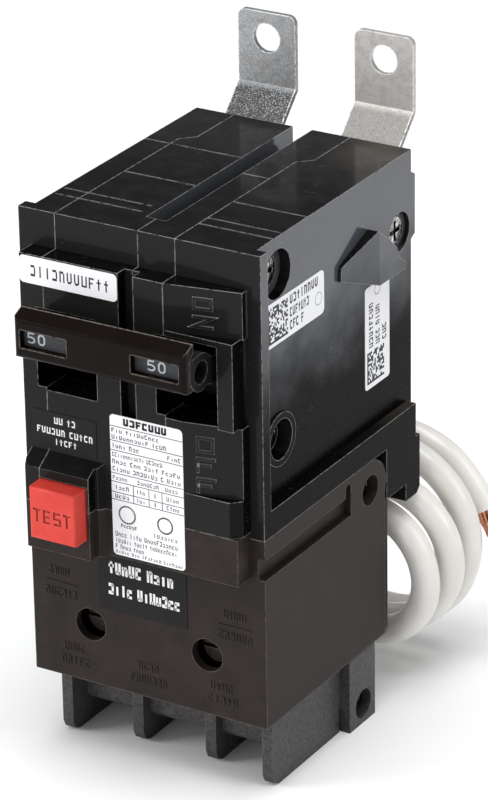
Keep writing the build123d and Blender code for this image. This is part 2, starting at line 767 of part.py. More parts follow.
def build_lugs():
    """Box lugs, their screws reached from the front or, for the neutral, from the back."""
    left = pole_centres["left"]
    right = pole_centres["right"]
    for name, x, facing in (("left_load", left, -1), ("neutral_load", 0, 1), ("right_load", right, -1)):
        lug = block(x - lug_half, x + lug_half, lug_y0, lug_y1, lug_z0, lug_z1)
        lug = chamfer(lug.edges().filter_by(Axis.Z), 0.8)
        lug -= rod_z(x, lug_bore_y, lug_z0 - 1, lug_z1 + 1, lug_bore_r)
        tip = lug_bore_y + facing * (lug_bore_r - 0.4)
        mouth = lug_y0 if facing < 0 else lug_y1
        under_head = mouth + facing * (lug_screw_travel + lug_head_gap)
        outside = under_head + facing * lug_head_thick
        span = sorted((tip, outside))
        lug -= rod_y(x, span[0] - 1, span[1] + 1, screw_hole_z, lug_screw_r + running_gap)
        save(f"{name}_lug", lug)
        head = sorted((under_head, outside))
        screw = rod_y(x, span[0], span[1], screw_hole_z, lug_screw_r)
        screw += rod_y(x, head[0], head[1], screw_hole_z, lug_head_r)
        slot = sorted((outside, outside - facing * 1.2))
        screw -= block(x - 4, x + 4, slot[0], slot[1], screw_hole_z - 0.4, screw_hole_z + 0.4)
        save(f"{name}_screw", screw)


def build_ground_fault_unit():
    core = rod_z(0, toroid_y, toroid_low, toroid_high, toroid_r)
    core -= rod_z(0, toroid_y, toroid_low - 1, toroid_high + 1, toroid_bore_r)
    save("current_transformer", core)
    board = block(-22.0, 22.0, 39.4, 41.0, module_front, 35.0)
    board -= rod_y(0, 38, 43, screw_hole_z, access_r)
    board -= rod_x(-30, 30, ear_y, ear_z, boss_r + 0.3)
    save("circuit_board", board)
    parts = [block(-3.0, 3.0, 37.6, 39.4, 22.0, 27.0), block(11.0, 16.0, 36.4, 39.4, 5.0, 12.0),
             rod_y(18.5, 33.0, 39.4, 20.0, 3.0), rod_y(-9.0, 34.5, 39.4, 8.0, 2.6),
             block(-20.0, -14.0, 38.2, 39.4, 4.0, 7.0), rod_y(-2.0, 35.5, 39.4, 5.0, 2.0)]
    save("board_components", *parts)
    coil = rod_z(plunger_x, plunger_y, 16.0, 28.0, 3.7) - rod_z(plunger_x, plunger_y, 15, 29, plunger_r + 0.3)
    save("solenoid_coil", coil)
    frame = block(plunger_x - 3.7, plunger_x + 3.7, plunger_y - 4.5, plunger_y + 3.7, 28.0, 29.2)
    frame += block(plunger_x - 3.7, plunger_x + 3.7, plunger_y - 4.5, plunger_y + 3.7, 14.8, 16.0)
    frame += block(plunger_x - 3.7, plunger_x + 3.7, plunger_y + 3.7, plunger_y + 4.7, module_front, 29.2)
    frame -= rod_z(plunger_x, plunger_y, 10, 30, plunger_r + 0.3)
    save("solenoid_frame", frame)
    plunger = rod_z(plunger_x, plunger_y, 13.0, plunger_tip, plunger_r)
    plunger += rod_z(plunger_x, plunger_y, 33.0, 33.8, plunger_r + 1.1)
    save("solenoid_plunger", plunger)
    spring = rod_z(plunger_x, plunger_y, 29.2, 33.0, plunger_r + 1.0)
    spring -= rod_z(plunger_x, plunger_y, 29.0, 34.0, plunger_r + 0.4)
    save("plunger_spring", spring)


def build_load_wires():
    """Wires from each bimetal and the neutral lug, through the transformer's hole."""
    top = case_bottom + front_wall
    for side, centre in pole_centres.items():
        sign = 1 if centre > 0 else -1
        near = sign * 3.2
        start_y = bimetal_y - 1.5
        points = [(centre, start_y, top), (centre, start_y, 33.5), (near, toroid_y - 1.5, 33.5),
                  (near, toroid_y - 1.5, 19.8), (centre, lug_y1 + 3.0, 15.0), (centre, lug_y1, 15.0)]
        save(f"{side}_load_wire", bent_rod(points, load_wire_r, [2.4, 2.4, 2.4, 1.6]))
    points = [(0, 12.0, lug_z1), (0, 12.0, 33.5), (0, toroid_y + 2.5, 33.5), (0, toroid_y + 2.5, 18.5),
              (pigtail_x, 35.5, 14.0), (pigtail_x, 35.5, pigtail_z), (pigtail_x, 40.2, pigtail_z)]
    save("neutral_wire", bent_rod(points, load_wire_r, [2.4, 2.4, 2.4, 2.4, 2.0]))


def build_labels():
    """Printed films on the front faces and on the right pole's side."""
    fronts = []
    for x0, x1, z0, z1, y in front_label_places:
        fronts.append(block(x0, x1, y - label_thick, y, z0, z1))
    save("front_labels", *fronts)
    side_x = pole_centres["right"] + body_half
    sides = []
    for y0, y1, z0, z1 in side_label_places:
        sides.append(block(side_x, side_x + label_thick, y0, y1, z0, z1))
    save("side_labels", *sides)


# ---------------------------------------------------------------- neutral pigtail
def coil_ring(spec, y0, y1):
    x, z, outer, inner = spec
    return rod_y(x, y0, y1, z, outer) - rod_y(x, y0 - 1, y1 + 1, z, inner)


def build_pigtail():
    bush = rod_y(pigtail_x, 40.2, pigtail_start, pigtail_z, bush_r - 1.0)
    bush += rod_y(pigtail_x, pigtail_start, pigtail_start + 1.0, pigtail_z, bush_r)
    bush -= rod_y(pigtail_x, 39, pigtail_start + 2, pigtail_z, 2.0)
    save("pigtail_bush", bush)
    save("neutral_pigtail", rod_y(pigtail_x, pigtail_start + 1.0, coil_start, pigtail_z, wire_r))
    coil = coil_ring(coil_front, coil_start, coil_step) + coil_ring(coil_back, coil_step, coil_end)
    save("pigtail_coil", coil)
    angle = math.radians(tail_angle)
    radius = coil_back[2] - wire_r
    x = coil_back[0] + radius * math.cos(angle)
    z = coil_back[1] + radius * math.sin(angle)
    down = Plane(origin=(x, tail_y, z), z_dir=(math.sin(angle), 0, -math.cos(angle)))
    save("pigtail_end", down * Pos(0, 0, tail_length / 2) * Cylinder(tail_r, tail_length))


build_poles()
build_case_screws()
build_toggles()
build_tie_bar()
build_tie_pin()
build_line_side()
build_contact_arms()
build_pivot_pins()
build_arc_chutes()
build_cradles()
build_trip_units()
build_trip_bar()
build_toggle_springs()
build_module()
build_back_plate()
build_module_screws()
build_test_button()
build_lugs()
build_ground_fault_unit()
build_load_wires()
build_labels()
build_pigtail()
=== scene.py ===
import math

import bmesh
import bpy
import numpy as np
from bpy.props import FloatProperty, FloatVectorProperty, IntProperty, PointerProperty
from mathutils import Matrix, Vector


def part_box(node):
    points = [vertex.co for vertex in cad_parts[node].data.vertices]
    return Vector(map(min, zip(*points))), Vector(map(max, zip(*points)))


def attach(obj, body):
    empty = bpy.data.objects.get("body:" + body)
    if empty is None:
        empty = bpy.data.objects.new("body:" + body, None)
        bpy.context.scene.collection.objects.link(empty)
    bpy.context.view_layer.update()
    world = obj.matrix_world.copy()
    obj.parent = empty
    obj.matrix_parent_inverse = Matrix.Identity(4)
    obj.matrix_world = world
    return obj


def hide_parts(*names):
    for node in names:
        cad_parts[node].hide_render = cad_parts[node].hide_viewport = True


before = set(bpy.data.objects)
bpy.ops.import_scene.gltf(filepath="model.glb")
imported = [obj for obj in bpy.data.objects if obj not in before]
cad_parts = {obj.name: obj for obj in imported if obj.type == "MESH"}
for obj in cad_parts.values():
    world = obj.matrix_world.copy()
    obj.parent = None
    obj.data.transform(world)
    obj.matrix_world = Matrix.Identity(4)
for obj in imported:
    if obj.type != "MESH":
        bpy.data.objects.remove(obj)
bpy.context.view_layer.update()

bl_info = {
    "name": "Two-pole breaker dressing",
    "version": (1, 0, 0),
    "blender": (4, 5, 0),
    "location": "3D View > Sidebar > Breaker",
    "description": "Finishes, labels, lettering, neutral pigtail and studio for a two-pole breaker",
    "category": "Object",
}

MM = 0.001
STRAP_BACK = 66.3                      # drawing Y of the line straps' back
CASE_TOP = 94.0                        # drawing Z of the poles' tops
SHOULDER_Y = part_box("left_line_strap")[1].y - STRAP_BACK * MM
JOINT_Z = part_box("left_pole_base")[1].z - CASE_TOP * MM
SHIFT = np.array([0.0, SHOULDER_Y, JOINT_Z])
RIGHT_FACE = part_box("side_labels")[0].x / MM
FRONT_FACE = -4.5                      # drawing Y of the raised front faces
SEED = 7


def placed(points):
    """Drawing places in millimetres, X across, Y into the panel and Z up, as metres in the frame."""
    return np.asarray(points, float) * MM + SHIFT


def at(x, y, z):
    """One such place as a vector."""
    return Vector(placed((x, y, z)))


# ---- finishes: sums on sockets
def _sum(operation, turned=False):
    """A method that adds a Math node; turned, the value itself comes second."""
    def add(self, other):
        pair = (other, self) if turned else (self, other)
        return self.finish.node("ShaderNodeMath", {"operation": operation}, dict(enumerate(pair)))
    return add


class Value:
    """A socket of a finish; sums written on it add Math nodes."""

    def __init__(self, finish, socket):
        self.finish = finish
        self.socket = socket

    __add__, __radd__ = _sum("ADD"), _sum("ADD", True)
    __sub__, __rsub__ = _sum("SUBTRACT"), _sum("SUBTRACT", True)
    __mul__, __rmul__ = _sum("MULTIPLY"), _sum("MULTIPLY", True)
    larger = _sum("MAXIMUM")

    def step(self, low, high):
        """0 below low, 1 above high and a smooth rise between; high below low turns it over."""
        kind = {"interpolation_type": "SMOOTHSTEP"}
        if low < high:
            return self.finish.node("ShaderNodeMapRange", kind, {0: self, 1: low, 2: high})
        return 1 - self.finish.node("ShaderNodeMapRange", kind, {0: self, 1: high, 2: low})


class Finish:
    """A material of one principled shader, with the patterns that this breaker's finishes use."""

    def __init__(self, name, **constants):
        self.material = bpy.data.materials.new(name)
        self.material.use_nodes = True
        self.tree = self.material.node_tree
        self.shader = next(n for n in self.tree.nodes if n.type == "BSDF_PRINCIPLED")
        for key, given in constants.items():
            socket = key.replace("_", " ").title().replace("Ior", "IOR")
            self.shader.inputs[socket].default_value = given
        self.place = self.node("ShaderNodeTexCoord", output="Object")
        self.facing = self.node("ShaderNodeTexCoord", output="Normal")

    def node(self, kind, settings=None, feeds=None, output=0):
        made = self.tree.nodes.new(kind)
        for key, given in (settings or {}).items():
            setattr(made, key, given)
        for key, given in (feeds or {}).items():
            self.feed(made.inputs[key], given)
        return Value(self, made.outputs[output])

    def feed(self, socket, given):
        if isinstance(given, Value):
            self.tree.links.new(given.socket, socket)
        elif socket.type == "RGBA" and len(given) == 3:
            socket.default_value = (*given, 1.0)
        else:
            socket.default_value = given

    def set(self, name, given):
        self.feed(self.shader.inputs[name], given)

    def axis(self, which, source=None):
        """One coordinate of the place, in metres."""
        return self.node("ShaderNodeSeparateXYZ", None, {0: source or self.place}, which)

    def drawn(self, which):
        """One coordinate of the place, in the drawing's millimetres."""
        return (self.axis(which) - float(SHIFT["XYZ".index(which)])) * (1 / MM)

    def stretched(self, scale, turn=(0, 0, 0)):
        return self.node("ShaderNodeMapping", None, {0: self.place, 2: turn, 3: scale})

    def noise(self, size, detail=2.0, rough=0.5, stretch=(1, 1, 1), turn=(0, 0, 0)):
        """Cloudy grain whose patches are about size millimetres across, 0 to 1."""
        scale = tuple(s / (size * MM) for s in stretch)
        return self.node("ShaderNodeTexNoise", None, {"Vector": self.stretched(scale, turn), "Scale": 1.0,
                                                      "Detail": detail, "Roughness": rough})

    def specks(self, size, radius):
        """Round specks of a radius in millimetres, one or none in each cell of that size."""
        cells = {"Vector": self.stretched((1 / (size * MM),) * 3), "Scale": 1.0}
        near = self.node("ShaderNodeTexVoronoi", None, cells, "Distance")
        colour = self.node("ShaderNodeTexVoronoi", None, cells, "Color")
        chosen = self.axis("X", colour).step(0.55, 0.6)
        return near.step(radius / size, radius / size * 0.6) * chosen

    def outer_edges(self, reach, clean=True):
        """1 along outward edges, where little lies behind the face within reach; broken unless clean."""
        inward = {"samples": 12, "inside": True, "only_local": True}
        solid = self.node("ShaderNodeAmbientOcclusion", inward, {"Distance": reach * MM}, "AO")
        edge = (1 - solid).step(0.12, 0.42)
        return edge if clean else edge * self.noise(1.1, 3.0, 0.7).step(0.30, 0.56)

    def crevices(self, reach):
        """1 in inner corners and narrow gaps within reach."""
        return 1 - self.node("ShaderNodeAmbientOcclusion", {"samples": 8}, {"Distance": reach * MM}, "AO")

    def blend(self, share, first, second):
        settings = {"data_type": "RGBA", "clamp_factor": True}
        return self.node("ShaderNodeMix", settings, {0: share, 6: first, 7: second}, 2)

    def layers(self, base, *coats):
        """A colour with each coat, a pair of share and colour, blended over it in turn."""
        for share, colour in coats:
            base = self.blend(share, base, colour)
        return base

    def bump(self, height, depth, strength=1.0, round_off=0.0):
        """Relief of a height pattern, depth millimetres deep, over edges rounded off by round_off."""
        feeds = {"Strength": strength, "Distance": depth * MM, "Height": height}
        if round_off:
            feeds["Normal"] = self.node("ShaderNodeBevel", {"samples": 4}, {"Radius": round_off * MM})
        self.set("Normal", self.node("ShaderNodeBump", None, feeds))

    def made(self, base, roughness, *relief, **rounding):
        """The material, with its colour, its roughness and, where given, its relief."""
        self.set("Base Color", base)
        self.set("Roughness", roughness)
        if relief:
            self.bump(*relief, **rounding)
        return self.material


def black_phenolic(name="black_phenolic", rubbing_and_highlight_share=1.0, reach=0.22, clean=False):
    """Glossy black moulding: pale edges, partly wear and partly a painted highlight, dust, scuffs, painted
    shade on the right and upper faces, painted light on the front faces, painted brownish reflections at
    the rear of the tops, and a painted bluish reflection high on the right face."""
    f = Finish(name, specular_ior_level=0.028, coat_roughness=0.07)
    rubbed_and_highlit = f.outer_edges(reach, clean) * rubbing_and_highlight_share
    dust = f.specks(2.6, 0.10) + f.specks(1.3, 0.045)
    clouds = f.noise(9.0, 4.0, 0.6)
    right = f.axis("X", f.facing).step(0.80, 0.95)
    upper = f.axis("Z", f.facing).step(0.80, 0.95)
    high = (f.drawn("Z") + clouds * 16.0).step(66.0, 92.0) * f.drawn("Y").step(-1.0, 0.0)
    rear = (f.drawn("Y") + clouds * 24.0).step(34.0, 66.0) * upper
    scratches = f.noise(0.9, 4.0, 0.7, (0.3, 1.0, 1.7), (0.7, 0.0, 0.0)).step(0.56, 0.74)
    scuffs = scratches * f.noise(7.0, 2.0, 0.5).step(0.47, 0.66)
    front = f.axis("Y", f.facing).step(-0.80, -0.95)
    corner = (f.drawn("Y") + clouds * 10.0).step(46.0, 60.0) * upper * f.drawn("X").step(8.0, 18.0)
    base = f.layers(
        f.blend(clouds, (0.0058, 0.0055, 0.0054), (0.0125, 0.012, 0.0118)),
        # painted shade on the right and upper faces, painted light on the front faces
        (right.larger(upper) * 0.85, (0.0020, 0.0019, 0.0019)),
        (front * 0.8, (0.0155, 0.0146, 0.0140)),
        # painted reflection: bluish grey high on the right face
        (right * high * 0.85, (0.070, 0.076, 0.088)),
        # painted reflection: brownish patches at the rear of the tops and on their right rear corner
        (rear * 0.3, (0.034, 0.031, 0.029)),
        (corner * 0.55, (0.060, 0.050, 0.042)),
        (scuffs * (0.10 + right * 0.35 + upper * 0.2), (0.085, 0.092, 0.100)),
        (dust * 0.5, (0.30, 0.29, 0.27)),
        # pale edges: partly wear, partly a painted highlight
        (rubbed_and_highlit * 0.8, (0.33, 0.32, 0.31)),
    )
    smear = f.noise(5.0, 5.0, 0.65)
    f.set("Coat Weight", right * high * 0.9 + front * 0.12 + upper * (0.09 + smear.step(0.36, 0.74) * 0.20))
    rough = 0.13 + smear * 0.14 + rubbed_and_highlit * 0.25 + right * 0.06 + scuffs * 0.2
    waves = f.noise(14.0, 2.0, 0.4) + f.noise(0.5, 2.0, 0.5) * 0.05
    return f.made(base, rough, waves, 0.05, 0.5, round_off=0.22)


def brown_moulding(name="brown_moulding", rubbing_and_highlight_share=1.0):
    """Dull dark brown grained moulding, greyer and smoother on the barriers below, their grey lightened
    with painted floor light, with painted shade in the gaps between the barriers and pale edges, partly
    wear and partly a painted highlight.
    """
    f = Finish(name, specular_ior_level=0.15)
    grain = f.noise(0.34, 3.0, 0.6)
    clouds = f.noise(6.0, 4.0, 0.6)
    low = f.drawn("Z").step(0.5, -1.0)
    rubbed_and_highlit = f.outer_edges(0.22, clean=False) * rubbing_and_highlight_share
    base = f.layers(
        f.blend(clouds.step(0.3, 0.7), (0.0150, 0.0107, 0.0091), (0.0225, 0.0165, 0.0142)),
        # the barriers' own grey, lightened with painted floor light
        (low, (0.074, 0.071, 0.070)),
        (low * f.noise(0.8, 5.0, 0.75).step(0.40, 0.60) * 0.75, (0.030, 0.028, 0.027)),
        # painted shade in the gaps between the barriers
        (low * f.crevices(7.0).step(0.35, 0.75) * 0.45, (0.010, 0.0095, 0.009)),
        (grain.step(0.52, 0.75) * 0.5, (0.042, 0.033, 0.029)),
        (f.specks(3.2, 0.09) * 0.5, (0.28, 0.25, 0.22)),
        # pale edges: partly wear, partly a painted highlight
        (rubbed_and_highlit * 0.6, (0.19, 0.165, 0.145)),
    )
    return f.made(base, 0.44 + clouds * 0.14 - low * 0.16, grain + clouds * 0.4, 0.045, 0.8, round_off=0.25)


def toggle_plastic():
    """Smooth black nylon of the toggles, with dust specks."""
    f = Finish("toggle_plastic", specular_ior_level=0.15)
    rubbed_and_highlit = f.outer_edges(0.25, clean=False)
    clouds = f.noise(4.0, 3.0, 0.6)
    base = f.layers(
        f.blend(clouds, (0.007, 0.0065, 0.0065), (0.014, 0.013, 0.013)),
        (f.specks(1.6, 0.06) * 0.5, (0.25, 0.24, 0.22)),
        # pale edges: partly wear, partly a painted highlight
        (rubbed_and_highlit * 0.5, (0.20, 0.195, 0.19)),
    )
    return f.made(base, 0.22 + clouds * 0.14, f.noise(2.0, 3.0, 0.5), 0.02, 0.5, round_off=0.3)


def bar_plastic():
    """Brown-black glossy plastic of the tie bar, bright along its edges: a painted highlight with some
    wear.
    """
    f = Finish("bar_plastic", specular_ior_level=0.05, coat_weight=0.055, coat_roughness=0.05)
    rubbed_and_highlit = f.outer_edges(0.35, clean=False)
    clouds = f.noise(7.0, 3.0, 0.6)
    base = f.layers(
        f.blend(clouds, (0.0038, 0.0024, 0.0019), (0.0068, 0.0045, 0.0036)),
        (f.specks(2.0, 0.06) * 0.5, (0.26, 0.23, 0.20)),
        (rubbed_and_highlit * 0.55, (0.26, 0.23, 0.205)),
    )
    rough = 0.15 + clouds * 0.12 + rubbed_and_highlit * 0.15
    return f.made(base, rough, f.noise(9.0, 2.0, 0.4), 0.05, 0.5, round_off=0.35)


def plate_grey():
    """Speckled dark grey paper of the rating plates."""
    f = Finish("plate_grey", specular_ior_level=0.25)
    flecks = f.noise(0.16, 2.0, 0.7).step(0.45, 0.72)
    base = f.blend(flecks, (0.030, 0.031, 0.034), (0.105, 0.108, 0.115))
    return f.made(base, 0.6 + flecks * 0.15, flecks, 0.01, 0.4)


def button_red():
    """Satin red plastic, paler on its rounded edges with a painted highlight, darker in the letters with
    painted shade.
    """
    f = Finish("button_red", specular_ior_level=0.30, subsurface_weight=0.06)
    f.shader.inputs["Subsurface Radius"].default_value = (0.0012, 0.0003, 0.0002)
    clouds = f.noise(3.5, 4.0, 0.6)
    base = f.layers(
        f.blend(clouds.step(0.25, 0.75), (0.545, 0.034, 0.023), (0.615, 0.049, 0.034)),
        # painted highlight on the rounded edges
        (f.outer_edges(0.7) * 0.35, (0.68, 0.110, 0.080)),
        # painted shade in the pressed letters and other recesses
        (f.crevices(0.7) * 0.75, (0.26, 0.014, 0.012)),
        (f.specks(1.9, 0.05) * 0.6, (0.22, 0.05, 0.04)),
    )
    grain = f.noise(0.4, 3.0, 0.6) + clouds * 0.6
    return f.made(base, 0.36 + clouds * 0.14, grain, 0.012, 0.5, round_off=0.3)


def strap_tin():
    """Tin-plated bar: mottled grey, fine rolling lines, dark bruises, painted shade on the bent tops, and
    bright sheared edges painted as a highlight.
    """
    f = Finish("strap_tin", metallic=0.8, specular_ior_level=0.3)
    rolling = f.noise(0.6, 3.0, 0.6, (1.0, 1.0, 0.06))
    mottle = f.noise(1.6, 5.0, 0.75)
    bruise = f.noise(0.55, 5.0, 0.75).step(0.56, 0.64)
    spark = f.noise(0.24, 3.0, 0.7).step(0.54, 0.62)
    bent = f.drawn("Z").step(98.6, 97.4)
    edge = f.outer_edges(0.35)
    left = f.drawn("X").step(2.0, -2.0)
    base = f.layers(
        f.blend(left, (0.620, 0.598, 0.570), (0.315, 0.325, 0.336)),
        (mottle.step(0.44, 0.60) * (0.30 + left * 0.45), (0.25, 0.247, 0.24)),
        # painted shade on the bent tops of both straps
        (bent * left * 0.85, (0.030, 0.031, 0.033)),
        (bent * (1 - left) * 0.85, (0.235, 0.225, 0.212)),
        (bruise * (0.28 + left * 0.15 + bent * left * 0.3), (0.035, 0.033, 0.031)),
        (spark * (left * 0.35 + bent * 0.25), (0.75, 0.75, 0.75)),
        # painted highlight along the sheared edges
        (edge * f.noise(0.7, 3.0, 0.7).step(0.36, 0.56), (0.90, 0.89, 0.87)),
    )
    return f.made(base, 0.36 + mottle * 0.24, rolling + mottle * 2.0, 0.05, 0.7, round_off=0.2)


def zinc_bright():
    """Bright zinc plating of the screws, pins and pressed steel, with near-black patches of painted
    reflection and painted shade in the crevices.
    """
    f = Finish("zinc_bright", metallic=1.0)
    mottle = f.noise(0.9, 4.0, 0.6)
    base = f.layers(
        # near-black patches: painted reflection of dark surroundings
        f.blend(mottle.step(0.35, 0.6), (0.70, 0.69, 0.67), (0.07, 0.07, 0.07)),
        # painted shade in the crevices
        (f.crevices(0.9).step(0.2, 0.7) * 0.92, (0.02, 0.019, 0.018)),
    )
    return f.made(base, 0.10 + mottle * 0.12, mottle, 0.12, 0.8, round_off=0.18)


def steel_brown_reflection(name):
    """Blackened steel of the lug screws, tinted brown as a painted reflection of the brown moulding round
    it, with a painted highlight on its edges.
    """
    f = Finish(name, metallic=0.6, specular_ior_level=0.3)
    mottle = f.noise(0.8, 4.0, 0.6)
    base = f.layers(
        f.blend(mottle, (0.040, 0.032, 0.027), (0.075, 0.062, 0.053)),
        # painted highlight on the edges
        (f.outer_edges(0.3) * 0.5, (0.22, 0.20, 0.18)),
    )
    return f.made(base, 0.38 + mottle * 0.2, mottle, 0.03, 0.5, round_off=0.2)


def metal(name, dull, bright, rough):
    """A metal whose tone wanders between two colours, with drawn lines and a painted highlight along its
    edges.
    """
    f = Finish(name, metallic=1.0)
    mottle = f.noise(1.2, 4.0, 0.6)
    lines = f.noise(0.25, 2.0, 0.5, (1.0, 0.1, 1.0))
    shiny = tuple(min(1.0, c * 1.4) for c in bright)
    base = f.layers(f.blend(mottle, dull, bright), (f.outer_edges(0.3) * 0.4, shiny))
    return f.made(base, rough + mottle * 0.2, lines + mottle, 0.015, 0.5)


def winding(name, dark, light):
    """Enamelled wire wound round an upright core: fine raised turns."""
    f = Finish(name, specular_ior_level=0.6, coat_weight=0.5, coat_roughness=0.2)
    feeds = {"Vector": f.stretched((1, 1, 1)), "Scale": 900.0, "Distortion": 0.6, "Detail": 1.0}
    turns = f.node("ShaderNodeTexWave", {"bands_direction": "Z"}, feeds, "Fac")
    return f.made(f.blend(turns, dark, light), 0.32 + turns * 0.1, turns, 0.12, 0.8)


def board_green():
    """Green solder mask with faint paler tracks."""
    f = Finish("board_green", specular_ior_level=0.5)
    feeds = {"Vector": f.stretched((1, 1, 1)), "Scale": 420.0, "Randomness": 0.0}
    gap = f.node("ShaderNodeTexVoronoi", {"feature": "DISTANCE_TO_EDGE"}, feeds, "Distance")
    track = gap.step(0.12, 0.06)
    base = f.blend(track * 0.6, (0.010, 0.075, 0.030), (0.030, 0.170, 0.070))
    return f.made(base, 0.34 + f.noise(1.0) * 0.1, track, 0.03, 0.5)


def moulded(name, dark, light, rough):
    """Plain moulded plastic or epoxy with a slight grain and paler edges painted as a highlight."""
    f = Finish(name, specular_ior_level=0.4)
    clouds = f.noise(1.5, 3.0, 0.6)
    pale = tuple(min(1.0, c * 1.8 + 0.02) for c in light)
    base = f.layers(f.blend(clouds, dark, light), (f.outer_edges(0.3) * 0.3, pale))
    return f.made(base, rough + clouds * 0.12, clouds, 0.02, 0.5, round_off=0.2)


def wire_white():
    """Glossy off-white insulation with a slight drawn waviness and handling marks."""
    f = Finish("wire_white", specular_ior_level=0.55, coat_weight=0.25, coat_roughness=0.12,
               subsurface_weight=0.12)
    f.shader.inputs["Subsurface Radius"].default_value = (0.0015, 0.0013, 0.0010)
    clouds = f.noise(12.0, 3.0, 0.6)
    marks = f.noise(1.6, 4.0, 0.7).step(0.66, 0.78)
    base = f.layers(
        f.blend(clouds.step(0.3, 0.7), (0.73, 0.705, 0.660), (0.80, 0.780, 0.740)),
        (marks * 0.25, (0.52, 0.49, 0.44)),
    )
    return f.made(base, 0.26 + clouds * 0.12, f.noise(2.4, 2.0, 0.5), 0.04, 0.45)


def strand_copper():
    """Bare drawn copper, brighter on the crowns and browner between the strands, where painted shade
    darkens the gaps.
    """
    f = Finish("strand_copper", metallic=1.0)
    tone = f.noise(0.7, 4.0, 0.6)
    base = f.layers(
        f.blend(tone.step(0.3, 0.7), (0.56, 0.22, 0.115), (0.80, 0.38, 0.22)),
        (f.crevices(0.5) * 0.7, (0.16, 0.045, 0.022)),
    )
    return f.made(base, 0.28 + tone * 0.16, tone, 0.02, 0.5)


def label_film(name, plain, tint, rough):
    """Printed film: nearly flat colour with a faint mottle and dust."""
    f = Finish(name, specular_ior_level=0.12)
    mottle = f.noise(2.5, 3.0, 0.6)
    base = f.layers(
        f.blend(mottle, plain, tint),
        (f.specks(2.4, 0.05) * 0.35, (0.45, 0.43, 0.40)),
    )
    return f.made(base, rough + mottle * 0.1, f.noise(6.0, 2.0, 0.5), 0.03, 0.4)


def print_ink(name, ink, worn_ink):
    """Printed ink, thinner where the grain of the film shows through."""
    f = Finish(name, specular_ior_level=0.3)
    thin = f.noise(0.22, 3.0, 0.7).step(0.58, 0.74)
    return f.made(f.blend(thin * 0.6, ink, worn_ink), 0.45 + thin * 0.15)


def both(*names):
    """The names with left_ and with right_ before them."""
    return [f"{side}_{name}" for name in names for side in ("left", "right")]


SLOTS = {                              # the CAD nodes of each slot, their finish's maker and its words
    "phenolic_black": (both("pole_base", "pole_cover"), black_phenolic),
    "module_brown": (["module_housing", "module_side_cover", "module_back_plate"], brown_moulding),
    "toggle_black": (["trip_bar", *both("toggle")], toggle_plastic),
    "tie_bar_brown": (["handle_tie_bar"], bar_plastic),
    "rating_plate": (["rating_plates"], plate_grey),
    "button_red": (["test_button"], button_red),
    "strap_tin": (both("line_strap"), strap_tin),
    "steel_zinc": (["case_screws", "module_screws", "handle_tie_pin", "pivot_pins", "armature_pins",
                    "magnet_yokes", "solenoid_plunger", "solenoid_frame", "test_spring", "plunger_spring",
                    *both("armature", "arc_chute", "trip_cradle", "toggle_spring")], zinc_bright),
    "contact_brass": (both("contact_arm", "bimetal"),
                      metal, "contact_brass", (0.52, 0.27, 0.12), (0.72, 0.42, 0.22), 0.28),
    "contact_silver": (["fixed_contacts", *both("moving_contact")],
                       metal, "contact_silver", (0.62, 0.61, 0.58), (0.80, 0.79, 0.76), 0.22),
    "lug_aluminium": (["neutral_load_lug", *both("load_lug")],
                      metal, "lug_aluminium", (0.55, 0.55, 0.54), (0.70, 0.70, 0.69), 0.32),
    "winding_copper": (["solenoid_coil", "current_transformer"],
                       winding, "winding_copper", (0.16, 0.045, 0.015), (0.46, 0.17, 0.06)),
    "board_green": (["circuit_board"], board_green),
    "board_parts": (["board_components", "test_switch"],
                    moulded, "board_parts", (0.012, 0.012, 0.013), (0.035, 0.035, 0.037), 0.4),
    "inner_wire": (["neutral_wire", *both("load_wire")],
                   moulded, "inner_wire", (0.011, 0.011, 0.012), (0.022, 0.022, 0.023), 0.34),
    "label_print": (["front_labels", "side_labels"],
                    label_film, "label_white", (0.80, 0.80, 0.82), (0.86, 0.86, 0.88), 0.34),
    "wire_white": (["neutral_pigtail", "pigtail_coil"], wire_white),
    "bush_black": (["pigtail_bush"],
                   moulded, "bush_black", (0.010, 0.010, 0.010), (0.022, 0.021, 0.021), 0.4),
    "copper_bare": (["pigtail_end"], strand_copper),
}
LOAD_SCREWS = ["neutral_load_screw", *both("load_screw")]
_made = {}


def finish_of(slot):
    """The material of a slot, made once."""
    if slot not in _made:
        _, maker, *words = SLOTS[slot]
        _made[slot] = maker(*words)
    return _made[slot]


def extra_finish(name, maker, *words):
    """A material besides the slots' own, made once."""
    if name not in _made:
        _made[name] = maker(name, *words)
    return _made[name]


# ---- surfaces from arrays
def grid_faces(rows, columns, wrap_rows=False, wrap_columns=False):
    """Quads of a grid of points numbered row by row, joined round where it wraps."""
    r = np.arange(rows if wrap_rows else rows - 1)
    c = np.arange(columns if wrap_columns else columns - 1)
    r, c = (g.ravel() for g in np.meshgrid(r, c, indexing="ij"))
    r2 = (r + 1) % rows
    c2 = (c + 1) % columns
    return np.stack([r * columns + c, r * columns + c2, r2 * columns + c2, r2 * columns + c], axis=1)


def reworked(mesh, change):
    """Makes a change to a mesh's points and faces where they stand."""
    work = bmesh.new()
    work.from_mesh(mesh)
    change(work)
    work.to_mesh(mesh)
    work.free()


def piece_from(name, points, faces, materials, slot, body="case", smooth=False, picks=None):
    """A new piece of metres-in-the-frame points and faces, riding on a body."""
    mesh = bpy.data.meshes.new(name)
    mesh.from_pydata(np.asarray(points, float).tolist(), [], [list(map(int, face)) for face in faces])
    for material in materials:
        mesh.materials.append(material)
    if picks is not None:
        mesh.polygons.foreach_set("material_index", np.asarray(picks, np.int32))
    mesh.polygons.foreach_set("use_smooth", np.full(len(mesh.polygons), smooth))
    mesh.validate()
    mesh.update()
    reworked(mesh, lambda work: bmesh.ops.recalc_face_normals(work, faces=work.faces))
    made = bpy.data.objects.new(name, mesh)
    bpy.context.scene.collection.objects.link(made)
    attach(made, body)
    return made


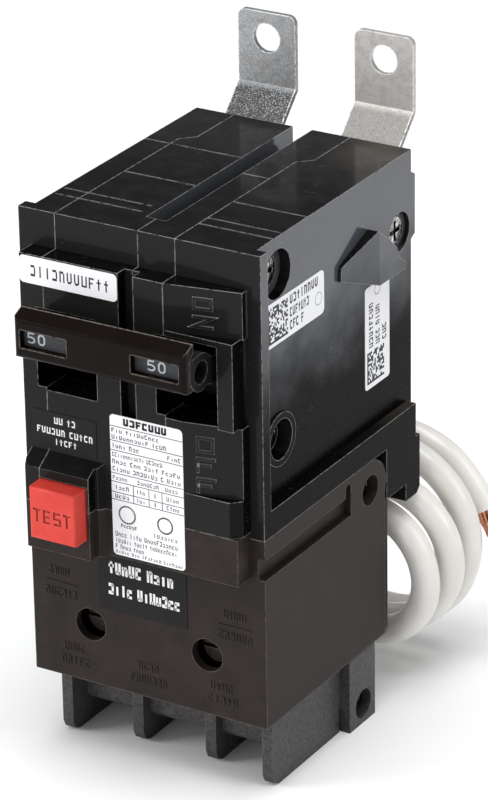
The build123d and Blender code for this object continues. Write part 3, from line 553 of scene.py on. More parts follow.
def front_plane(y):
    """Turns (along, up, proud) into drawing X, Y, Z on a face that looks forward."""
    return np.array([[1, 0, 0], [0, 0, -1], [0, 1, 0]], float).T, np.array([0.0, y, 0.0])


def right_plane(x):
    """Turns (along, up, proud) into drawing X, Y, Z on a face that looks right."""
    return np.array([[0, 0, 1], [1, 0, 0], [0, 1, 0]], float).T, np.array([x, 0.0, 0.0])


def on_plane(points, plane):
    turn, start = plane
    return np.asarray(points, float) @ turn + start


def rounded_plate(x0, x1, z0, z1, radius, thick, plane, steps=6):
    """A flat plate: a rounded rectangle's outline in two heights, closed by one face over and one under.
    The outline's corners are quarter circles: middle of the corner plus radius times (cos, sin)."""
    quarter = math.pi / 2
    turn = np.linspace(0, quarter, steps)
    left, right, low, high = x0 + radius, x1 - radius, z0 + radius, z1 - radius
    corners = [(right, high, turn), (left, high, turn + quarter),
               (left, low, turn + 2 * quarter), (right, low, turn + 3 * quarter)]
    outline = np.concatenate([np.stack([x + radius * np.cos(t), z + radius * np.sin(t)], 1)
                              for x, z, t in corners])
    count = len(outline)
    low = np.column_stack([outline, np.zeros(count)])
    high = np.column_stack([outline, np.full(count, thick)])
    sides = grid_faces(2, count, wrap_columns=True)
    lids = [list(range(count, 2 * count)), list(range(count))[::-1]]
    points = placed(on_plane(np.concatenate([low, high]), plane))
    return points, [list(f) for f in sides] + lids


def bars(rectangles, plane, proud, thick):
    """Thin raised bars: each rectangle (x0, x1, z0, z1) becomes a box from proud to proud + thick."""
    r = np.asarray(rectangles, float)
    x = r[:, [0, 1, 1, 0, 0, 1, 1, 0]]
    z = r[:, [2, 2, 3, 3, 2, 2, 3, 3]]
    h = np.broadcast_to(np.array([proud] * 4 + [proud + thick] * 4), x.shape)
    points = placed(on_plane(np.stack([x, z, h], axis=2).reshape(-1, 3), plane))
    box = np.array([[0, 3, 2, 1], [4, 5, 6, 7], [0, 1, 5, 4], [1, 2, 6, 5], [2, 3, 7, 6], [3, 0, 4, 7]])
    faces = (box[None] + 8 * np.arange(len(r))[:, None, None]).reshape(-1, 4)
    return points, faces


# Made-up marks that stand for words: strokes (x0, x1, z0, z1) in a cell one unit square,
# three tall ones first, then low ones as high as small letters.
MARKS = [
    [(0.05, 0.25, 0, 1), (0.25, 0.75, 0.82, 1), (0.25, 0.6, 0.42, 0.58)],
    [(0.05, 0.25, 0, 1), (0.60, 0.8, 0, 1), (0.25, 0.6, 0, 0.18)],
    [(0.30, 0.50, 0, 1), (0.10, 0.7, 0.60, 0.74)],
    [(0.05, 0.25, 0.1, 0.6), (0.15, 0.7, 0.56, 0.72), (0.15, 0.7, 0, 0.16)],
    [(0.05, 0.25, 0, 0.72), (0.25, 0.6, 0.56, 0.72), (0.55, 0.75, 0, 0.6)],
    [(0.30, 0.50, 0, 0.72)],
    [(0.05, 0.25, 0.14, 0.72), (0.15, 0.6, 0, 0.16), (0.55, 0.75, 0.1, 0.72)],
    [(0.05, 0.70, 0, 0.16), (0.1, 0.65, 0.56, 0.72), (0.55, 0.75, 0.16, 0.6)],
]
TALL_MARKS = 3


def mark_row(rng, x0, x1, z0, z1, words, weight=1.0, capitals=False):
    """Strokes of one row of made-up marks, in words of the given counts, filling x0 to x1.
    Each word starts with a tall mark, and the others are mostly low unless they are capitals."""
    cells = sum(words) + 0.7 * (len(words) - 1)
    wide = (x1 - x0) / cells
    tall = z1 - z0
    grow = (weight - 1) * 0.05
    out = []
    spot = x0
    for count in words:
        for place in range(count):
            low = place > 0 and not capitals and rng.random() < 0.75
            kind = rng.integers(TALL_MARKS, len(MARKS)) if low else rng.integers(len(MARKS))
            lift = 1.0 if low or kind < TALL_MARKS else 1 / 0.72
            for a, b, c, d in MARKS[kind]:
                out.append((spot + (a - grow) * wide, spot + (b + grow) * wide,
                            z0 + max(0.0, c * lift - grow) * tall, z0 + min(1.0, d * lift + grow) * tall))
            spot += wide
        spot += 0.7 * wide
    return out


def mark_rows(rng, rows):
    """Strokes of several rows, each given as mark_row takes it."""
    return [stroke for row in rows for stroke in mark_row(rng, *row)]


def quarter_turn(marks, x, z):
    """The same marks reading upward: along becomes up from z, and up becomes leftward from x."""
    return [(x - d, x - c, z + a, z + b) for a, b, c, d in marks]


def ridge(path, half, height, plane, closed=False):
    """A raised stroke: a four-point trapezium carried along a path of (along, up) points.
    Each row is the path's point plus the sideways direction times the trapezium's offset,
    lengthened at corners by 1 / cos of half the turn so that the stroke keeps its width."""
    p = np.asarray(path, float)
    step = np.roll(p, -1, 0) - p if closed else np.diff(p, axis=0)
    step /= np.linalg.norm(step, axis=1)[:, None]
    side = np.stack([-step[:, 1], step[:, 0]], 1)
    if closed:
        before, after = np.roll(side, 1, 0), side
    else:
        before, after = np.vstack([side[:1], side]), np.vstack([side, side[-1:]])
    mitre = (before + after) / (1 + (before * after).sum(1))[:, None]
    section = np.array([(-half, 0.0), (-half * 0.72, height), (half * 0.72, height), (half, 0.0)])
    flat = p[:, None, :] + mitre[:, None, :] * section[None, :, 0, None]
    up = np.broadcast_to(section[None, :, 1], flat.shape[:2])
    points = np.concatenate([flat, up[..., None]], axis=2).reshape(-1, 3)
    rows = len(p)
    faces = [list(f) for f in grid_faces(rows, 4, wrap_rows=closed, wrap_columns=True)]
    if not closed:
        faces += [[3, 2, 1, 0], [rows * 4 - 4, rows * 4 - 3, rows * 4 - 2, rows * 4 - 1]]
    return placed(on_plane(points, plane)), faces


def joined(shapes):
    """Several (points, faces) as one."""
    points, faces, start = [], [], 0
    for p, f in shapes:
        points.append(p)
        faces += [[int(i) + start for i in face] for face in f]
        start += len(p)
    return np.concatenate(points), faces


# ---- settings
def length(name, description, default):
    return FloatProperty(name=name, description=description, default=default, unit="LENGTH")


def colour(name, description, default):
    return FloatVectorProperty(name=name, description=description, default=default, subtype="COLOR",
                               min=0, max=1)


class BreakerSizes(bpy.types.PropertyGroup):
    wire_diameter: length("Wire diameter", "Diameter over the pigtail's insulation", 0.0057)
    strand_diameter: length("Strand diameter", "One strand of the pigtail's conductor", 0.00088)
    bare_length: length("Bare length", "Stripped copper past the insulation", 0.009)
    label_thickness: length("Label thickness", "Thickness of the printed films", 0.00012)
    letter_height: length("Letter relief", "How far moulded letters stand proud", 0.00022)
    coil_turn: FloatProperty(name="Coil turn", subtype="ANGLE", default=math.radians(1274),
                             description="How far the pigtail winds round, from first to last")
    points_per_turn: IntProperty(name="Points per turn", default=15, min=12,
                                 description="Control points in one turn of the coil")


class BreakerColours(bpy.types.PropertyGroup):
    floor: colour("Floor", "Colour of the studio floor", (0.90, 0.90, 0.90))
    note_film: colour("Note film", "Dark film of the notes", (0.011, 0.010, 0.010))
    print_black: colour("Black print", "Ink on the white labels", (0.012, 0.012, 0.013))
    print_white: colour("White print", "Ink on the dark notes", (0.78, 0.78, 0.76))


def sizes():
    return bpy.context.scene.breaker_sizes


def colours():
    return bpy.context.scene.breaker_colours


# ---- camera and studio
VIEW_TURN = math.radians(31.41)
VIEW_RISE = math.radians(24.33)
VIEW_ROLL = math.radians(-1.07)
VIEW_DISTANCE = 798.76
VIEW_OFFSET = (1.0335, -9.9857)
VIEW_TARGET = (0.0, 30.0, 60.0)
VIEW_LENS = 192.95
VIEW_SHIFT = (0.0136, 0.0004)
LIT_PLACE = (0.0, 20.0, 45.0)
STUDIO_LIGHTS = {                      # place and sides in metres, and watts
    "overhead": ((0.10, -0.10, 1.30), (1.0, 1.0), 17.0),
    "front_left": ((-0.95, -0.70, 0.55), (0.6, 0.7), 9.0),
    "front_low": ((-0.10, -1.10, 0.28), (0.9, 0.3), 3.2),
    "right_fill": ((1.0, 0.15, 0.55), (0.5, 0.6), 3.0),
}
FLOOR_REACH = 4.0
SKY_COLOUR = (0.92, 0.95, 1.0, 1.0)
SKY_STRENGTH = 0.26


def make_camera():
    """A long lens from the front right, a little above."""
    back = Vector((math.sin(VIEW_TURN) * math.cos(VIEW_RISE), -math.cos(VIEW_TURN) * math.cos(VIEW_RISE),
                   math.sin(VIEW_RISE)))
    level = Vector((math.cos(VIEW_TURN), math.sin(VIEW_TURN), 0.0))
    upright = back.cross(level)
    right = level * math.cos(VIEW_ROLL) + upright * math.sin(VIEW_ROLL)
    up = upright * math.cos(VIEW_ROLL) - level * math.sin(VIEW_ROLL)
    lens = bpy.data.cameras.new("view")
    lens.sensor_fit = "AUTO"
    lens.sensor_width = 36.0
    lens.lens = VIEW_LENS
    lens.shift_x, lens.shift_y = VIEW_SHIFT
    lens.clip_start, lens.clip_end = 0.05, 20.0
    camera = bpy.data.objects.new("view", lens)
    bpy.context.scene.collection.objects.link(camera)
    spot = at(*VIEW_TARGET) + (right * VIEW_OFFSET[0] + up * VIEW_OFFSET[1] + back * VIEW_DISTANCE) * MM
    turn = Matrix((right, up, back)).transposed().to_4x4()
    camera.matrix_world = Matrix.Translation(spot) @ turn
    bpy.context.scene.camera = camera


def soft_light(name, spot, size, power):
    """A rectangular area light at spot, looking at the breaker's middle."""
    lamp = bpy.data.lights.new(name, "AREA")
    lamp.shape = "RECTANGLE"
    lamp.size, lamp.size_y = size
    lamp.energy = power
    made = bpy.data.objects.new(name, lamp)
    bpy.context.scene.collection.objects.link(made)
    away = Vector(spot) - at(*LIT_PLACE)
    made.matrix_world = Matrix.Translation(spot) @ away.to_track_quat("Z", "Y").to_matrix().to_4x4()


class BREAKER_OT_stage(bpy.types.Operator):
    """Pale floor, soft lights and the camera"""
    bl_idname = "breaker.stage"
    bl_label = "Studio"

    def execute(self, context):
        make_camera()
        f = Finish("pale_floor", specular_ior_level=0.1)
        base = f.blend(f.noise(400.0) * 0.1, tuple(colours().floor), (0.88, 0.88, 0.88))
        mesh = bpy.data.meshes.new("floor")
        corners = [(x * FLOOR_REACH, y * FLOOR_REACH, 0) for x, y in ((-1, -1), (1, -1), (1, 1), (-1, 1))]
        mesh.from_pydata(corners, [], [(0, 1, 2, 3)])
        mesh.materials.append(f.made(base, 0.75 + f.noise(90.0) * 0.05))
        floor = bpy.data.objects.new("floor", mesh)
        context.scene.collection.objects.link(floor)
        world = bpy.data.worlds.new("studio")
        world.use_nodes = True
        background = next(n for n in world.node_tree.nodes if n.type == "BACKGROUND")
        background.inputs[0].default_value = SKY_COLOUR
        background.inputs[1].default_value = SKY_STRENGTH
        context.scene.world = world
        for name, words in STUDIO_LIGHTS.items():
            soft_light(name, *words)
        context.scene.view_settings.view_transform = "Standard"
        return {"FINISHED"}


# ---- finishes on the CAD nodes
class BREAKER_OT_finishes(bpy.types.Operator):
    """Gives every carried-over node the finish of its slot"""
    bl_idname = "breaker.finishes"
    bl_label = "Finishes"

    def execute(self, context):
        finishes = {name: finish_of(slot) for slot, (names, *_) in SLOTS.items() for name in names}
        finishes |= dict.fromkeys(LOAD_SCREWS, extra_finish("steel_brown_reflection", steel_brown_reflection))
        for name, finish in finishes.items():
            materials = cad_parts[name].data.materials
            materials.clear()
            materials.append(finish)
        return {"FINISHED"}


# ---- pigtail
PIGTAIL_EXIT = (6.1, 44.0, -7.0)
PIGTAIL_LEAD = [(6.1, 47.6, -7.0), (5.9, 50.6, -6.5), (4.9, 52.4, -4.9)]
COIL_FIRST = math.radians(212)
# Drawing Y, centre X, centre Z and radius of the wire's middle as the coil runs back,
# and the Y that each share of the winding has reached.
COIL_RUN = np.array([
    (52.9, 14.0, 6.6, 14.3), (55.0, 14.3, 6.9, 14.3), (58.0, 14.6, 7.6, 14.8), (61.2, 14.7, 8.4, 15.7),
    (65.0, 12.6, 9.2, 17.6), (69.4, 10.8, 9.6, 19.4), (73.0, 11.0, 8.8, 19.3), (77.0, 11.3, 7.8, 19.1),
])
COIL_PACE = ((0, 0.165, 0.45, 0.735, 1.0), (52.9, 55.0, 61.9, 69.6, 77.0))
STRANDS_TUCKED = 0.0015                # metres of the strands that lie inside the insulation


def coil_points():
    """Control points of the coil: centre plus radius times (cos, sin) of an angle that falls
    evenly, while the centre, the radius and Y follow the coil's run. The radius is let out by
    the share that a smooth curve cuts inside its points."""
    whole = sizes().coil_turn
    count = int(whole / (2 * math.pi) * sizes().points_per_turn) + 1
    share = np.linspace(0, 1, count)
    angle = COIL_FIRST - share * whole
    y = np.interp(share, *COIL_PACE)
    x0, z0, radius = (np.interp(y, COIL_RUN[:, 0], COIL_RUN[:, k]) for k in (1, 2, 3))
    let_out = 1 / (0.5 + 0.5 * math.cos(2 * math.pi / sizes().points_per_turn / 2)) ** 0.5
    return np.stack([x0 + radius * let_out * np.cos(angle), y, z0 + radius * let_out * np.sin(angle)], 1)


def along(curve):
    """Points of a curve object's own smooth line, in the frame."""
    bare = curve.data.copy()
    bare.bevel_depth = 0.0
    carrier = bpy.data.objects.new("carrier", bare)
    mesh = bpy.data.meshes.new_from_object(carrier)
    points = np.zeros(len(mesh.vertices) * 3)
    mesh.vertices.foreach_get("co", points)
    bpy.data.objects.remove(carrier)
    return points.reshape(-1, 3)


def strand_tubes(start, way, length, strand, count, ring, lean, sides=8, rings=16):
    """Strands laid round a core: each is a circle carried along a helix about the conductor's line,
    start + way * s + ring * (cos, sin)(place round + lay * s), which opens out a little at the end."""
    way = way / np.linalg.norm(way)
    across = np.cross(way, [0.0, 1.0, 0.0])
    across /= np.linalg.norm(across)
    other = np.cross(way, across)
    s = np.linspace(0, 1, rings)
    spread = ring * (1 + 0.22 * s ** 2)
    shapes = []
    for k in range(count):
        turn = 2 * math.pi * k / count + lean * s
        middle = start + way * (length * s)[:, None] + spread[:, None] * (
            np.cos(turn)[:, None] * across + np.sin(turn)[:, None] * other)
        run = np.gradient(middle, axis=0)
        run /= np.linalg.norm(run, axis=1)[:, None]
        first = np.cross(run, other)
        first /= np.linalg.norm(first, axis=1)[:, None]
        second = np.cross(run, first)
        ring_turn = np.linspace(0, 2 * math.pi, sides, endpoint=False)
        tube = middle[:, None, :] + strand / 2 * (np.cos(ring_turn)[None, :, None] * first[:, None, :]
                                                  + np.sin(ring_turn)[None, :, None] * second[:, None, :])
        faces = [list(f) for f in grid_faces(rings, sides, wrap_columns=True)]
        faces += [list(range(sides)), list(range((rings - 1) * sides, rings * sides))[::-1]]
        shapes.append((tube.reshape(-1, 3), faces))
    return shapes


class BREAKER_OT_pigtail(bpy.types.Operator):
    """White neutral pigtail: a stiff coiled wire with a bare stranded end"""
    bl_idname = "breaker.pigtail"
    bl_label = "Neutral pigtail"

    def execute(self, context):
        route = placed(np.concatenate([[PIGTAIL_EXIT], PIGTAIL_LEAD, coil_points()]))
        curve = bpy.data.curves.new("pigtail_wire", "CURVE")
        curve.dimensions = "3D"
        curve.bevel_depth = sizes().wire_diameter / 2
        curve.bevel_resolution = 6
        curve.use_fill_caps = True
        curve.resolution_u = 8
        spline = curve.splines.new("NURBS")
        spline.points.add(len(route) - 1)
        spline.points.foreach_set("co", np.column_stack([route, np.ones(len(route))]).ravel())
        spline.order_u = 3
        spline.use_endpoint_u = True
        curve.materials.append(finish_of("wire_white"))
        wire = bpy.data.objects.new("pigtail_wire", curve)
        context.scene.collection.objects.link(wire)
        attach(wire, "case")
        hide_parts("neutral_pigtail", "pigtail_coil")
        line = along(wire)
        way = line[-1] - line[-2]
        way = way / np.linalg.norm(way)
        strand = sizes().strand_diameter
        start = line[-1] - way * STRANDS_TUCKED
        reach = sizes().bare_length + STRANDS_TUCKED
        shapes = []
        for count, ring, lean in ((1, 0.0, 0.0), (6, strand, -1.6), (12, strand * 1.93, 1.3)):
            shapes += strand_tubes(start, way, reach, strand, count, ring, lean)
        copper = piece_from("pigtail_strands", *joined(shapes), [finish_of("copper_bare")], "copper_bare",
                            smooth=True)
        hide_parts("pigtail_end")
        return {"FINISHED"}


# ---- labels
FRONT_LABELS = {                       # x0, x1, z0, z1, corner radius, face Y, light film
    "serial": (-22.5, -1.7, 81.5, 86.8, 0.9, FRONT_FACE, True),
    "level": (-21.0, -7.1, 49.4, 56.8, 0.15, FRONT_FACE, False),
    "wire_note": (-10.5, 8.6, 16.5, 29.5, 0.15, 0.0, False),
    "rating": (-4.1, 11.3, 31.1, 59.3, 0.8, FRONT_FACE, True),
}
SIDE_LABELS = {                        # y0, y1, z0, z1, corner radius
    "code": (4.5, 25.6, 73.5, 82.0, 1.0),
    "lot": (40.7, 49.9, 51.6, 72.3, 0.7),
}
INK = 0.015                            # print stands this far off the film
RULE = 0.07                            # half a printed line's width


def squares(left, right, low, high):
    """Arrays of the four sides as a list of strokes."""
    return np.stack([left, right, low, high], 1).tolist()


def matrix_block(rng, x0, z0, side, cells):
    """A made-up block of square cells with a solid left and lower edge; about half are dark."""
    dark = rng.random((cells, cells)) < 0.5
    dark[:, 0] = True
    dark[0, :] = True
    row, column = np.nonzero(dark)
    cell = side / cells
    return squares(x0 + column * cell, x0 + (column + 1) * cell, z0 + row * cell, z0 + (row + 1) * cell)


def ring_bars(x, z, radius, width, pieces=28):
    """A printed circle: short bars at even places round it."""
    turn = np.linspace(0, 2 * math.pi, pieces, endpoint=False)
    px, pz = x + radius * np.cos(turn), z + radius * np.sin(turn)
    half = width / 2
    return squares(px - half, px + half, pz - half, pz + half)


# Rows of marks: x0, x1, z0, z1, the words' lengths, the weight, and True for capitals.
SERIAL_ROWS = [(-20.2, -3.0, 83.0, 85.2, (11,), 0.8, True)]
RATING_ROWS = [
    (-1.2, 8.2, 57.45, 58.9, (7,), 2.4, True),
    (-3.8, 6.5, 55.75, 56.6, (3, 9)), (-3.8, 8.0, 54.45, 55.3, (10, 4)),
    (-3.8, 2.2, 52.65, 53.6, (4, 3)), (8.0, 11.0, 52.65, 53.5, (4,)),
    (-3.8, 7.0, 50.9, 51.8, (12, 6)), (-3.8, 10.8, 49.5, 50.4, (4, 3, 4, 5)),
    (-3.8, 10.9, 48.05, 48.95, (5, 7, 1, 4)), (-3.8, -0.6, 46.3, 47.1, (5,)),
    (1.4, 6.2, 46.3, 47.1, (7,)), (7.4, 10.2, 46.3, 47.1, (4,)),
    *((x0, x1, z, z + 0.85, (count,)) for z in (44.4, 42.65)
      for x0, x1, count in ((-3.4, -0.2, 4), (1.2, 3.2, 3), (4.8, 5.8, 1), (7.6, 10.4, 4))),
    (-2.3, 1.2, 36.9, 37.6, (6,), 1.5), (4.6, 9.9, 36.4, 37.2, (7,)),
    (-3.6, 9.9, 34.9, 35.9, (4, 4, 11)), (-3.6, 9.7, 33.6, 34.5, (6, 5, 10)),
    (-3.6, 2.6, 32.4, 33.3, (1, 4, 4)), (-3.6, 10.9, 31.45, 32.1, (5, 3, 7, 7)),
]
RATING_LINES = (57.0, 54.1, 52.2, 47.6, 45.9, 43.8, 42.3)
RATING_COLUMNS = (0.6, 3.9, 6.7)
RATING_RINGS = ((-0.9, 39.6, 1.7, 0.32), (7.2, 39.3, 1.55, 0.32))
LEVEL_ROWS = [(-16.2, -11.4, 54.6, 55.9, (2, 2), 1.2, True), (-20.0, -7.7, 52.3, 53.6, (6, 5), 1.2, True),
              (-16.2, -11.2, 50.4, 51.6, (5,), 1.2, True)]
NOTE_ROWS = [(-8.3, 6.0, 24.2, 26.6, (5, 4), 2.4), (-8.4, 7.3, 19.8, 22.1, (4, 7), 2.4)]
CODE_ROWS = [(13.3, 23.6, 79.6, 81.4, (8,), 1.3, True), (13.3, 20.3, 77.1, 78.9, (7,), 1.3, True),
             (13.3, 18.4, 74.6, 76.4, (3, 1), 1.3, True)]
CODE_BLOCK = (5.6, 74.2, 7.0, 16)      # y, z, side and cells of the blocks of squares
LOT_BLOCK = (41.4, 52.6, 6.4, 14)
SIDE_RINGS = ((23.6, 76.9, 1.2, 0.16), (45.3, 70.8, 1.0, 0.16))
LOT_ROWS = ((43.6, (8,)), (46.1, (3, 4)), (48.6, (3,)))
LOT_MARK = (1.15, 1.5)                 # width and height of one mark in the upright rows
LOT_START = 59.8


class BREAKER_OT_labels(bpy.types.Operator):
    """Printed films on the front and right faces, with rules and made-up marks"""
    bl_idname = "breaker.labels"
    bl_label = "Labels"

    def execute(self, context):
        rng = np.random.default_rng(SEED)
        thick = sizes().label_thickness / MM
        note = tuple(colours().note_film)
        white = finish_of("label_print")
        dark = extra_finish("note_film", label_film, note, tuple(c * 1.25 for c in note), 0.42)
        black_ink = extra_finish("ink_black", print_ink, tuple(colours().print_black), (0.25, 0.25, 0.26))
        white_ink = extra_finish("ink_white", print_ink, tuple(colours().print_white), (0.45, 0.45, 0.44))
        films, picks = [], []
        for *place, y, light in FRONT_LABELS.values():
            films.append(rounded_plate(*place, thick, front_plane(y)))
            picks += [0 if light else 1] * len(films[-1][1])
        front = piece_from("front_label_films", *joined(films), [white, dark], "label_print", picks=picks)
        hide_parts("front_labels")
        films = [rounded_plate(*place, thick, right_plane(RIGHT_FACE)) for place in SIDE_LABELS.values()]
        side = piece_from("side_label_films", *joined(films), [white], "label_print")
        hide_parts("side_labels")

        face = front_plane(FRONT_FACE)
        x0, x1, bottom = FRONT_LABELS["rating"][0], FRONT_LABELS["rating"][1], RATING_LINES[-1]
        ink = [(x0, x1, z - RULE, z + RULE) for z in RATING_LINES]
        ink += [(x - RULE, x + RULE, bottom, RATING_LINES[4]) for x in RATING_COLUMNS]
        ink += mark_rows(rng, SERIAL_ROWS + RATING_ROWS)
        ink += sum((ring_bars(*ring) for ring in RATING_RINGS), [])
        prints = [bars(ink, face, thick, INK)]
        ink = sum((ring_bars(*ring) for ring in SIDE_RINGS), [])
        ink += matrix_block(rng, *CODE_BLOCK) + mark_rows(rng, CODE_ROWS) + matrix_block(rng, *LOT_BLOCK)
        for x, words in LOT_ROWS:
            row = mark_row(rng, 0, LOT_MARK[0] * sum(words), 0, LOT_MARK[1], words, 1.3, True)
            ink += quarter_turn(row, x, LOT_START)
        prints.append(bars(ink, right_plane(RIGHT_FACE), thick, INK))
        piece_from("label_print_black", *joined(prints), [black_ink], "label_print")
        prints = [bars(mark_rows(rng, LEVEL_ROWS), face, thick, INK),
                  bars(mark_rows(rng, NOTE_ROWS), front_plane(0.0), thick, INK)]
        piece_from("label_print_white", *joined(prints), [white_ink], "label_print")
        return {"FINISHED"}


# ---- moulded letters and numerals
LETTERS = {                            # strokes of (along, up) in a cell one unit high, and if they close
    "O": [([(0.09, 0.09), (0.57, 0.09), (0.57, 0.91), (0.09, 0.91)], True)],
    "F": [([(0.09, 0.0), (0.09, 0.91), (0.66, 0.91)], False), ([(0.09, 0.50), (0.52, 0.50)], False)],
    "N": [([(0.09, 0.0), (0.09, 0.95), (0.57, 0.05), (0.57, 1.0)], False)],
    "T": [([(0.0, 0.92), (0.62, 0.92)], False), ([(0.31, 0.0), (0.31, 0.92)], False)],
    "E": [([(0.58, 0.92), (0.08, 0.92), (0.08, 0.08), (0.58, 0.08)], False),
          ([(0.08, 0.50), (0.50, 0.50)], False)],
    "S": [([(0.58, 0.92), (0.08, 0.92), (0.08, 0.50), (0.56, 0.50), (0.56, 0.08), (0.04, 0.08)], False)],
    "5": [([(0.55, 0.93), (0.10, 0.93), (0.07, 0.55), (0.36, 0.58), (0.55, 0.45), (0.57, 0.25),
            (0.42, 0.08), (0.20, 0.06), (0.05, 0.16)], False)],
    "0": [([(0.08, 0.25), (0.20, 0.07), (0.42, 0.07), (0.54, 0.25), (0.54, 0.75), (0.42, 0.93),
            (0.20, 0.93), (0.08, 0.75)], True)],
}
PANEL_SLOPE = 0.188                    # how far the lettered panels fall back for each mm to the right
MOULDED_LETTERS = [                    # letter, panel's left side, x, z, width, height, reading downward
    ("O", 7.8, 13.4, 85.4, 2.6, 4.0, True), ("N", 7.8, 13.4, 81.9, 2.6, 4.0, True),
    ("O", 11.4, 13.6, 55.4, 4.1, 3.2, False), ("F", 11.4, 13.6, 51.4, 4.1, 3.1, False),
    ("F", 11.4, 13.6, 47.4, 4.1, 3.1, False),
]
NUMERALS = [("5", -16.0), ("0", -13.8), ("5", 9.3), ("0", 11.5)]
NUMERAL_FOOT = 73.7
BUTTON_LETTERS = [("T", -16.5), ("E", -14.35), ("S", -12.15), ("T", -10.05)]
BUTTON_FOOT = 38.0
BUTTON_CUT = 0.28                      # how deep the button's letters are pressed
HALF_STROKE = 0.34                     # of the moulded letters
NUMERAL_SHAPE = (1.75, 2.1, 0.17, 0.05)  # width, height, half a stroke's width, relief
BUTTON_SHAPE = (1.75, 2.7, 0.26, 0.6)


def letter(which, x, z, wide, tall, half, height, plane, turned=False):
    """Ridges of one letter with its lower left at (x, z); turned letters read downward."""
    shapes = []
    for path, closed in LETTERS[which]:
        p = np.array(path) * (wide / 0.66, tall)
        if turned:
            p = np.stack([p[:, 1], -p[:, 0]], 1)
        shapes.append(ridge(p + (x, z), half, height, plane, closed))
    return shapes


def sloped_plane(x_start, slope, y):
    """The lettered panels' plane: it falls back to the right of x_start by slope."""
    turn = math.atan(slope)
    along_x = np.array([math.cos(turn), math.sin(turn), 0.0])
    proud = np.array([math.sin(turn), -math.cos(turn), 0.0])
    return np.stack([along_x, [0, 0, 1], proud]), np.array([x_start, y, 0.0])


class BREAKER_OT_lettering(bpy.types.Operator):
    """Moulded ON and OFF, the numerals 50 on the plates, and TEST pressed into the button"""
    bl_idname = "breaker.lettering"
    bl_label = "Lettering"

    def execute(self, context):
        relief = sizes().letter_height / MM
        shapes = []
        for which, left, x, z, wide, tall, turned in MOULDED_LETTERS:
            panel = sloped_plane(left, PANEL_SLOPE, FRONT_FACE)
            shapes += letter(which, x - left, z, wide, tall, HALF_STROKE, relief, panel, turned)
        plain = extra_finish("letter_black", black_phenolic, 1.0, 0.15, True)
        piece_from("on_off_letters", *joined(shapes), [plain], "phenolic_black")
        plate = front_plane((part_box("rating_plates")[0].y - SHIFT[1]) / MM)
        shapes = []
        for which, x in NUMERALS:
            shapes += letter(which, x, NUMERAL_FOOT, *NUMERAL_SHAPE, plate)
        ink = extra_finish("ink_numeral", print_ink, (0.52, 0.55, 0.58), (0.25, 0.27, 0.29))
        piece_from("rating_numerals", *joined(shapes), [ink], "rating_plate", body="handle")

        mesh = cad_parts["test_button"].data.copy()
        mesh.name = "test_button_pressed"
        red = bpy.data.objects.new("test_button_pressed", mesh)
        context.scene.collection.objects.link(red)
        reworked(mesh, lambda work: bmesh.ops.remove_doubles(work, verts=work.verts, dist=1e-6))
        cut = front_plane((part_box("test_button")[0].y - SHIFT[1]) / MM + BUTTON_CUT)
        shapes = []
        for which, x in BUTTON_LETTERS:
            shapes += letter(which, x, BUTTON_FOOT, *BUTTON_SHAPE, cut)
        cutter = piece_from("test_letters_cutter", *joined(shapes), [finish_of("button_red")],
                            "button_red", body="button")
        boolean = red.modifiers.new("letters", "BOOLEAN")
        boolean.operation = "DIFFERENCE"
        boolean.solver = "EXACT"
        boolean.use_self = True
        boolean.object = cutter
        dressed = bpy.data.meshes.new_from_object(red.evaluated_get(context.evaluated_depsgraph_get()))
        red.modifiers.clear()
        red.data = dressed
        dressed.materials.clear()
        dressed.materials.append(finish_of("button_red"))
        bpy.data.objects.remove(cutter)
        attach(red, "button")
        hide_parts("test_button")
        return {"FINISHED"}


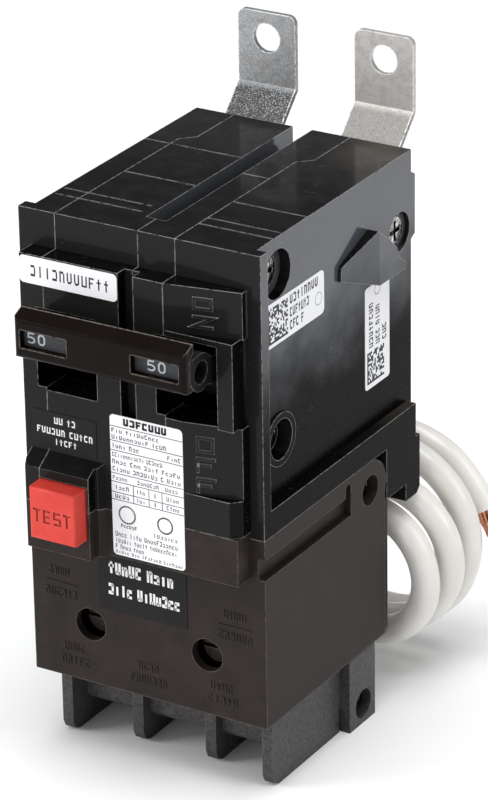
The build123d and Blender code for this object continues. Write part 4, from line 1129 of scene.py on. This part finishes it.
MODULE_ROWS = [                        # x0, x1, z0, z1 and the words' lengths
    (-18.8, -14.2, 5.6, 7.2, (4,)), (-19.5, -13.2, 2.8, 4.4, (5,)),
    (-2.5, 2.2, 5.6, 7.2, (4,)), (-4.2, 3.9, 2.8, 4.4, (7,)),
    (13.2, 18.2, 5.5, 7.1, (4,)), (12.6, 19.4, 2.8, 4.4, (5,)),
    (16.4, 21.7, 20.9, 22.6, (5,)), (15.3, 22.6, 16.5, 18.2, (6,)),
    (-21.7, -16.8, 20.9, 22.6, (5,)), (-22.6, -15.4, 16.5, 18.2, (6,)),
]
MODULE_RULES = [(15.3, 22.4, 19.35, 19.55), (-22.6, -15.4, 19.35, 19.55)]


class BREAKER_OT_module_marks(bpy.types.Operator):
    """Faint raised marks on the module's front, two by the side and three pairs along the bottom"""
    bl_idname = "breaker.module_marks"
    bl_label = "Module marks"

    def execute(self, context):
        rng = np.random.default_rng(SEED + 4)
        marks = mark_rows(rng, [(*row, 1.0, True) for row in MODULE_ROWS]) + MODULE_RULES
        plain = extra_finish("mark_brown", brown_moulding, 0.1)
        piece_from("module_marks", *bars(marks, front_plane(0.0), -0.02, 0.17), [plain], "module_brown")
        return {"FINISHED"}


class BREAKER_PT_panel(bpy.types.Panel):
    """Lists the breaker's pieces and settings"""
    bl_idname = "BREAKER_PT_panel"
    bl_label = "Breaker"
    bl_space_type = "VIEW_3D"
    bl_region_type = "UI"
    bl_category = "Breaker"

    def draw(self, context):
        for settings in (context.scene.breaker_sizes, context.scene.breaker_colours):
            for name in settings.bl_rna.properties.keys():
                if name not in ("rna_type", "name"):
                    self.layout.prop(settings, name)
        for operator in OPERATORS:
            self.layout.operator(operator.bl_idname)


OPERATORS = (BREAKER_OT_stage, BREAKER_OT_finishes, BREAKER_OT_pigtail, BREAKER_OT_labels,
             BREAKER_OT_lettering, BREAKER_OT_module_marks)
CLASSES = (BreakerSizes, BreakerColours, *OPERATORS, BREAKER_PT_panel)


def register():
    for cls in CLASSES:
        bpy.utils.register_class(cls)
    bpy.types.Scene.breaker_sizes = PointerProperty(type=BreakerSizes)
    bpy.types.Scene.breaker_colours = PointerProperty(type=BreakerColours)


def unregister():
    del bpy.types.Scene.breaker_colours
    del bpy.types.Scene.breaker_sizes
    for cls in reversed(CLASSES):
        bpy.utils.unregister_class(cls)


def main():
    register()
    for operator in OPERATORS:
        getattr(bpy.ops.breaker, operator.bl_idname.split(".")[1])()


if __name__ == "__main__":
    main()
